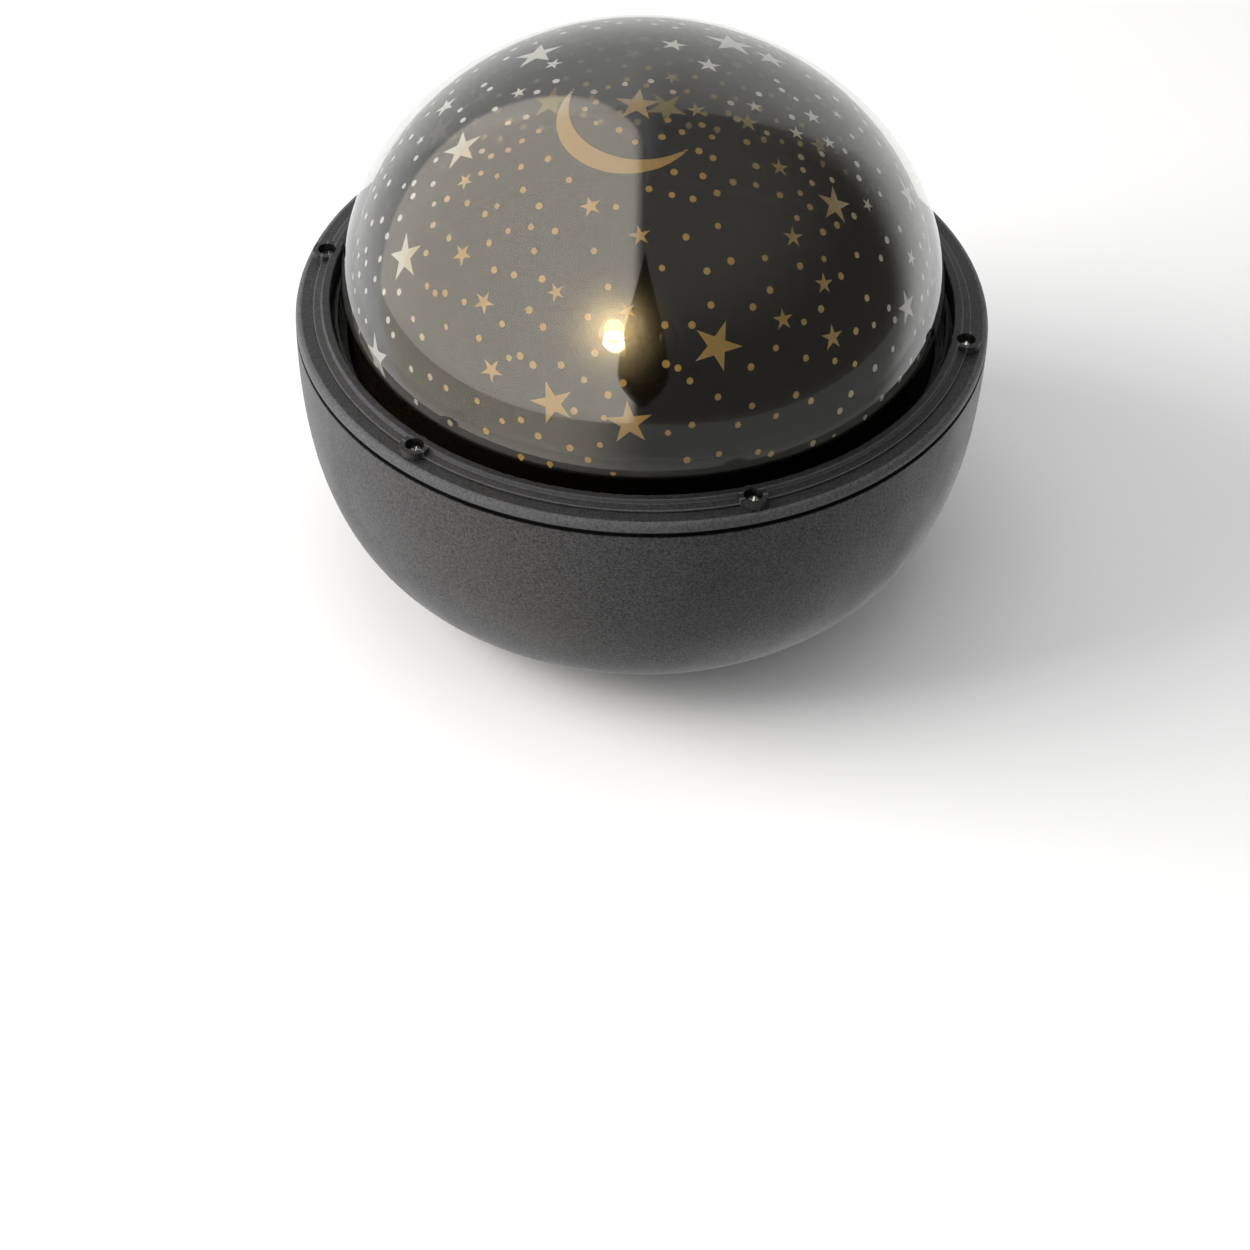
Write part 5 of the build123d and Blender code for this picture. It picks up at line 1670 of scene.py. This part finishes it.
@dataclass
class Lamp:
    """The four bulbs on their board in the retainer, with the warm one lit."""

    place: tuple[float, float, float] = (-0.007, 0.0, 0.0617)
    light: tuple[float, float, float] = (1.0, 0.72, 0.34)
    size: float = 0.0008
    beam: float = 0.135
    spill: float = 0.009
    beam_climb: float = math.radians(40.0)
    beam_lean: float = math.radians(28.0)
    beam_width: float = math.radians(120.0)

    def shine(self) -> None:
        """Add the warm bulb's beam, which leans to the front and left, and its weaker spill all round."""
        level = math.cos(self.beam_climb)
        side, ahead = level * math.sin(self.beam_lean), level * math.cos(self.beam_lean)
        aim = Vector((-side, -ahead, math.sin(self.beam_climb)))
        lights = (("warm_lamp_beam", "SPOT", self.beam), ("warm_lamp_spill", "POINT", self.spill))
        for name, kind, power in lights:
            data = bpy.data.lights.new(name, kind)
            data.energy, data.color, data.shadow_soft_size = power, self.light, self.size
            if kind == "SPOT":
                data.spot_size, data.spot_blend = self.beam_width, 1.0
            lamp = bpy.data.objects.new(name, data)
            lamp.location = self.place
            lamp.rotation_mode = "QUATERNION"
            lamp.rotation_quaternion = aim.to_track_quat("-Z", "Y")
            bpy.context.scene.collection.objects.link(lamp)

    def build(self) -> None:
        """Dress the lamp's nodes and light the warm bulb."""
        # The retainer and the lamp board get a painted glow round the lit bulb, as emission.
        dress(LampSeatPaintedGlow("retainer_milky_plastic"), "lamp_retainer")
        dress(LampSeatPaintedGlow("lamp_board_black_mask"), "lamp_board")
        dress(Epoxy("red_epoxy", rgba(0.010, 0.001, 0.001)), "red_bulb")
        dress(Epoxy("blue_epoxy", rgba(0.001, 0.0015, 0.010)), "blue_bulb")
        dress(Epoxy("green_epoxy", rgba(0.001, 0.007, 0.0015)), "green_bulb")
        dress(Epoxy("warm_lit_epoxy", rgba(1.0, 0.80, 0.45), glow=90.0, clearness=0.6), "warm_bulb")
        dress(polished("lamp_lead_vinyl", 0.42, 0.015, 0.012), "lamp_leads")
        self.shine()


@dataclass
class Drive:
    """The turntable on its hub tube, and the gearmotor under the deck that turns it."""

    black: Rgba = grey(0.004)
    nylon: tuple[float, float, float] = (0.70, 0.68, 0.60)

    def build(self) -> None:
        """Dress the drive's nodes."""
        dress(dull("turntable_black_plastic", self.black, 0.75, 0.15), "turntable")
        dress(dull("deck_black_plastic", rgba(0.010, 0.010, 0.011), 0.6), "deck_plate")
        dress(polished("natural_nylon", *self.nylon, 0.32), "thrust_washer", "drive_pinion")
        dress(Moulded("gearbox_plastic", rgba(0.05, 0.055, 0.065), 0.42), "gearbox_case")
        dress(Metal("drawn_steel", rgba(0.50, 0.50, 0.51), 0.28), "motor_can", "motor_shaft")
        dress(zinc("drive_screw_zinc"), "deck_screws", "motor_screws")
        dress(polished("motor_lead_vinyl", 0.02, 0.05, 0.30), "motor_leads")


@dataclass
class Power:
    """The battery box with its three cells, springs and contacts."""

    nickel: Rgba = rgba(0.60, 0.58, 0.54)

    def build(self) -> None:
        """Dress the power's nodes."""
        dress(dull("battery_box_plastic", rgba(0.012, 0.012, 0.013), 0.55), "battery_box")
        dress(CellJacket(), "battery_cells")
        dress(Metal("nickel_plate", self.nickel, 0.2), "battery_springs", "contact_plates")
        dress(zinc("box_screw_zinc"), "box_screws")
        dress(polished("battery_lead_vinyl", 0.42, 0.015, 0.012), "battery_leads")


@dataclass
class Electronics:
    """The main board with its parts, and the leads to the switches."""

    socket: tuple[float, float, float] = (0.72, 0.70, 0.62)

    def build(self) -> None:
        """Dress the electronics' nodes."""
        dress(CircuitBoard(), "main_board")
        dress(polished("socket_nylon", *self.socket), "board_connectors")
        dress(resin("chip_epoxy"), "controller_chip")
        dress(polished("capacitor_sleeve", 0.012, 0.02, 0.09, 0.25), "capacitors")
        dress(zinc("board_screw_zinc"), "board_screws", "switch_screws")
        dress(polished("switch_lead_vinyl", 0.62, 0.62, 0.60), "switch_leads")


# ---------------------------------------------------------------- studio


@dataclass(frozen=True)
class SoftBox:
    """A square soft light that points at the object and stays out of its reflections.

    Its place is given along the camera's right, toward the camera and up.
    """

    name: str
    place: tuple[float, float, float]
    size: float
    power: float
    colour: tuple[float, float, float] = (1.0, 1.0, 1.0)
    aim_height: float = 0.07

    def build(self, right: np.ndarray, front: np.ndarray) -> None:
        """Make the light.

        Args:
            right: The level direction to the camera's right.
            front: The level direction toward the camera.
        """
        place = self.place[0] * right + self.place[1] * front + self.place[2] * np.array([0.0, 0.0, 1.0])
        data = bpy.data.lights.new(self.name, "AREA")
        data.shape, data.size, data.energy, data.color = "SQUARE", self.size, self.power, self.colour
        light = bpy.data.objects.new(self.name, data)
        light.location = place
        aim = np.array([0.0, 0.0, self.aim_height]) - place
        light.rotation_mode = "QUATERNION"
        light.rotation_quaternion = Vector(aim).to_track_quat("-Z", "Y")
        light.visible_glossy = False
        bpy.context.scene.collection.objects.link(light)


@dataclass(frozen=True)
class Studio:
    """A pale table in a light tent: a bright sheet on the left, a dim one on the right, a slit for the lens.

    The tent shows only in glossy reflections. The camera sees plain white, and the light on the object is
    soft and stronger from the left.
    """

    camera: StudioCamera
    left_sheet: Rgba = rgba(2.36, 2.22, 1.97)
    right_sheet: Rgba = rgba(0.14, 0.133, 0.117)
    left_table: Rgba = rgba(1.40, 1.30, 1.10)
    right_table: Rgba = rgba(0.33, 0.33, 0.31)
    back_low: float = 1.45
    back_high: float = 0.74
    fill: float = 0.44
    slit_turn: float = math.radians(1.0)
    slit_height: float = math.radians(16.0)
    slit_half_width: float = math.radians(9.5)
    slit_above: float = math.radians(50.0)
    slit_below: float = math.radians(17.0)
    left_end: float = math.radians(120.0)
    left_lean: float = 0.80
    right_end: float = math.radians(121.0)
    right_lean: float = 0.55
    floor_radius: float = 6.0
    floor_white: float = 0.93
    soft_boxes: tuple[SoftBox, ...] = (
        SoftBox("left_softbox", (-1.1, 0.1, 0.65), 0.9, 22.0, (1.0, 0.98, 0.96)),
        SoftBox("right_softbox", (0.9, 0.45, 0.8), 0.9, 0.8),
        SoftBox("top_softbox", (0.0, -0.1, 1.4), 1.2, 4.9),
    )

    def directions(self) -> tuple[np.ndarray, np.ndarray]:
        """The level directions that the tent and its lights are placed by.

        Returns:
            The directions to the camera's right and toward the camera.
        """
        azimuth = math.radians(self.camera.azimuth)
        right = np.array([math.cos(azimuth), math.sin(azimuth), 0.0])
        return right, np.array([math.sin(azimuth), -math.cos(azimuth), 0.0])

    def outside_slit(self, g: Graph, turn: Socket, climb: Socket) -> Socket:
        """Where a direction misses the lens's slit: its width falls as a parabola above and below.

        Args:
            g: The world's tree.
            turn: The direction's angle from straight ahead, growing to the right.
            climb: Its angle above the level.

        Returns:
            0 inside the slit, 1 outside.
        """
        across = g.math("ABSOLUTE", g.math("DIVIDE", g.minus(turn, self.slit_turn), self.slit_half_width))
        above = g.minus(climb, self.slit_height)
        over, under = g.math("DIVIDE", above, self.slit_above), g.math("DIVIDE", above, -self.slit_below)
        along = g.math("MAXIMUM", over, under)
        return g.ramp(g.math("ADD", across, g.times(along, along)), 0.93, 1.03)

    def past_sheets(self, g: Graph, turn: Socket, climb: Socket) -> Socket:
        """Where a direction passes the sheets' far ends, which lean back as they climb.

        Args:
            g: The world's tree.
            turn: The direction's angle from straight ahead, growing to the right.
            climb: Its angle above the level.

        Returns:
            0 on the sheets, 1 past them.
        """
        left_end = g.math("MULTIPLY_ADD", climb, self.left_lean, self.left_end)
        right_end = g.math("MULTIPLY_ADD", climb, self.right_lean, self.right_end)
        past_left = g.ramp(g.minus(g.times(turn, -1.0), left_end), -0.02, 0.05)
        past_right = g.ramp(g.minus(turn, right_end), -0.22, 0.24)
        return g.math("MAXIMUM", past_left, past_right)

    def mirrored(self, g: Graph, ray: Socket) -> Socket:
        """What glossy rays meet: the sheets with their slit, the bright back of the tent and the table.

        Args:
            g: The world's tree.
            ray: The ray's direction.

        Returns:
            The colour met.
        """
        right, front = self.directions()
        side = g.add("VectorMath", {0: ray, 1: tuple(right)}, operation="DOT_PRODUCT").outputs["Value"]
        ahead = g.add("VectorMath", {0: ray, 1: tuple(front)}, operation="DOT_PRODUCT").outputs["Value"]
        up = g.parts(ray)[2]
        turn, climb = g.math("ARCTAN2", side, ahead), g.math("ARCSINE", up)
        right_sheet = g.mix(g.ramp(up, 0.3, 0.9), self.right_sheet, scaled(self.right_sheet, 2.3))
        sheets = g.mix(g.ramp(side, -0.075, 0.0), self.left_sheet, right_sheet)
        tent = g.mix(self.outside_slit(g, turn, climb), BLACK, sheets)
        beyond = self.past_sheets(g, turn, climb)
        dimmed = g.times(g.ramp(side, -0.1, 0.1), g.ramp(up, 0.40, 0.85, 0.0, -0.60))
        level = g.times(g.ramp(up, -0.35, 0.50, self.back_low, self.back_high), g.math("ADD", dimmed, 1.0))
        walls = g.mix(beyond, tent, g.grey(level))
        table = g.mix(g.ramp(side, -0.5, 0.10), self.left_table, self.right_table)
        low = g.mix(beyond, table, grey(self.back_low))
        table_edge = g.math("MULTIPLY_ADD", g.math("ABSOLUTE", side), 0.08, up)
        return g.mix(g.ramp(table_edge, -0.15, -0.13), low, walls)

    def world(self) -> None:
        """Build the world: the tent for glossy rays, white for the eye and a plain fill for the rest."""
        g = Graph("studio_world", world=True)
        path = g.add("LightPath").outputs
        plain = g.mix(path["Is Camera Ray"], grey(self.fill), WHITE)
        shown = g.mix(path["Is Glossy Ray"], plain, self.mirrored(g, g.add("TexCoord").outputs["Generated"]))
        seen = g.mix(path["Is Transmission Ray"], shown, WHITE)
        bpy.context.scene.world = g.finish(g.add("Background", {0: seen, 1: 1.0}).outputs[0])

    def floor(self) -> None:
        """Build the table top: out of glossy reflections, and clear to the eye from below."""
        g = Graph("pale_table")
        path = g.add("LightPath").outputs
        pale = g.mix(g.noise(2.0, 2.0, 0.5), grey(self.floor_white), grey(self.floor_white * 0.985))
        far = g.ramp(g.length(g.place()), 0.35, 0.9)
        white = g.add("Emission", {0: WHITE, 1: 1.0}).outputs[0]
        matte = g.blend(g.times(far, path["Is Camera Ray"]), g.matte(pale), white)
        below = g.times(g.add("NewGeometry").outputs["Backfacing"], path["Is Camera Ray"])
        hidden = g.math("MAXIMUM", path["Is Glossy Ray"], below)
        material = g.finish(g.blend(hidden, matte, g.clear()))
        ring = np.array([0.002, 0.05, 0.1, 0.2, 0.4, 0.8, 1.6, 3.0, self.floor_radius])
        profile = np.column_stack([ring, np.zeros(len(ring))])
        lathe("table_top", profile[::-1], material, steps=64)

    def build(self) -> None:
        """Build the world, the table and the lights."""
        self.world()
        self.floor()
        for soft_box in self.soft_boxes:
            soft_box.build(*self.directions())
        bpy.context.scene.view_settings.view_transform = "Standard"


def main() -> None:
    """Build the camera, the studio, the star dome and the finishes, in that order."""
    camera = StudioCamera()
    camera.build()
    Studio(camera).build()
    dome = StarDome()
    dome.build(StarPattern(dome.outer, camera))
    LOG.info("star dome built")
    CoverDome().build()
    LOG.info("cover dome built")
    for part in (Shell(), Controls(), Lamp(), Drive(), Power(), Electronics()):
        part.build()
        LOG.info("%s built", type(part).__name__)


if __name__ == "__main__":
    main()
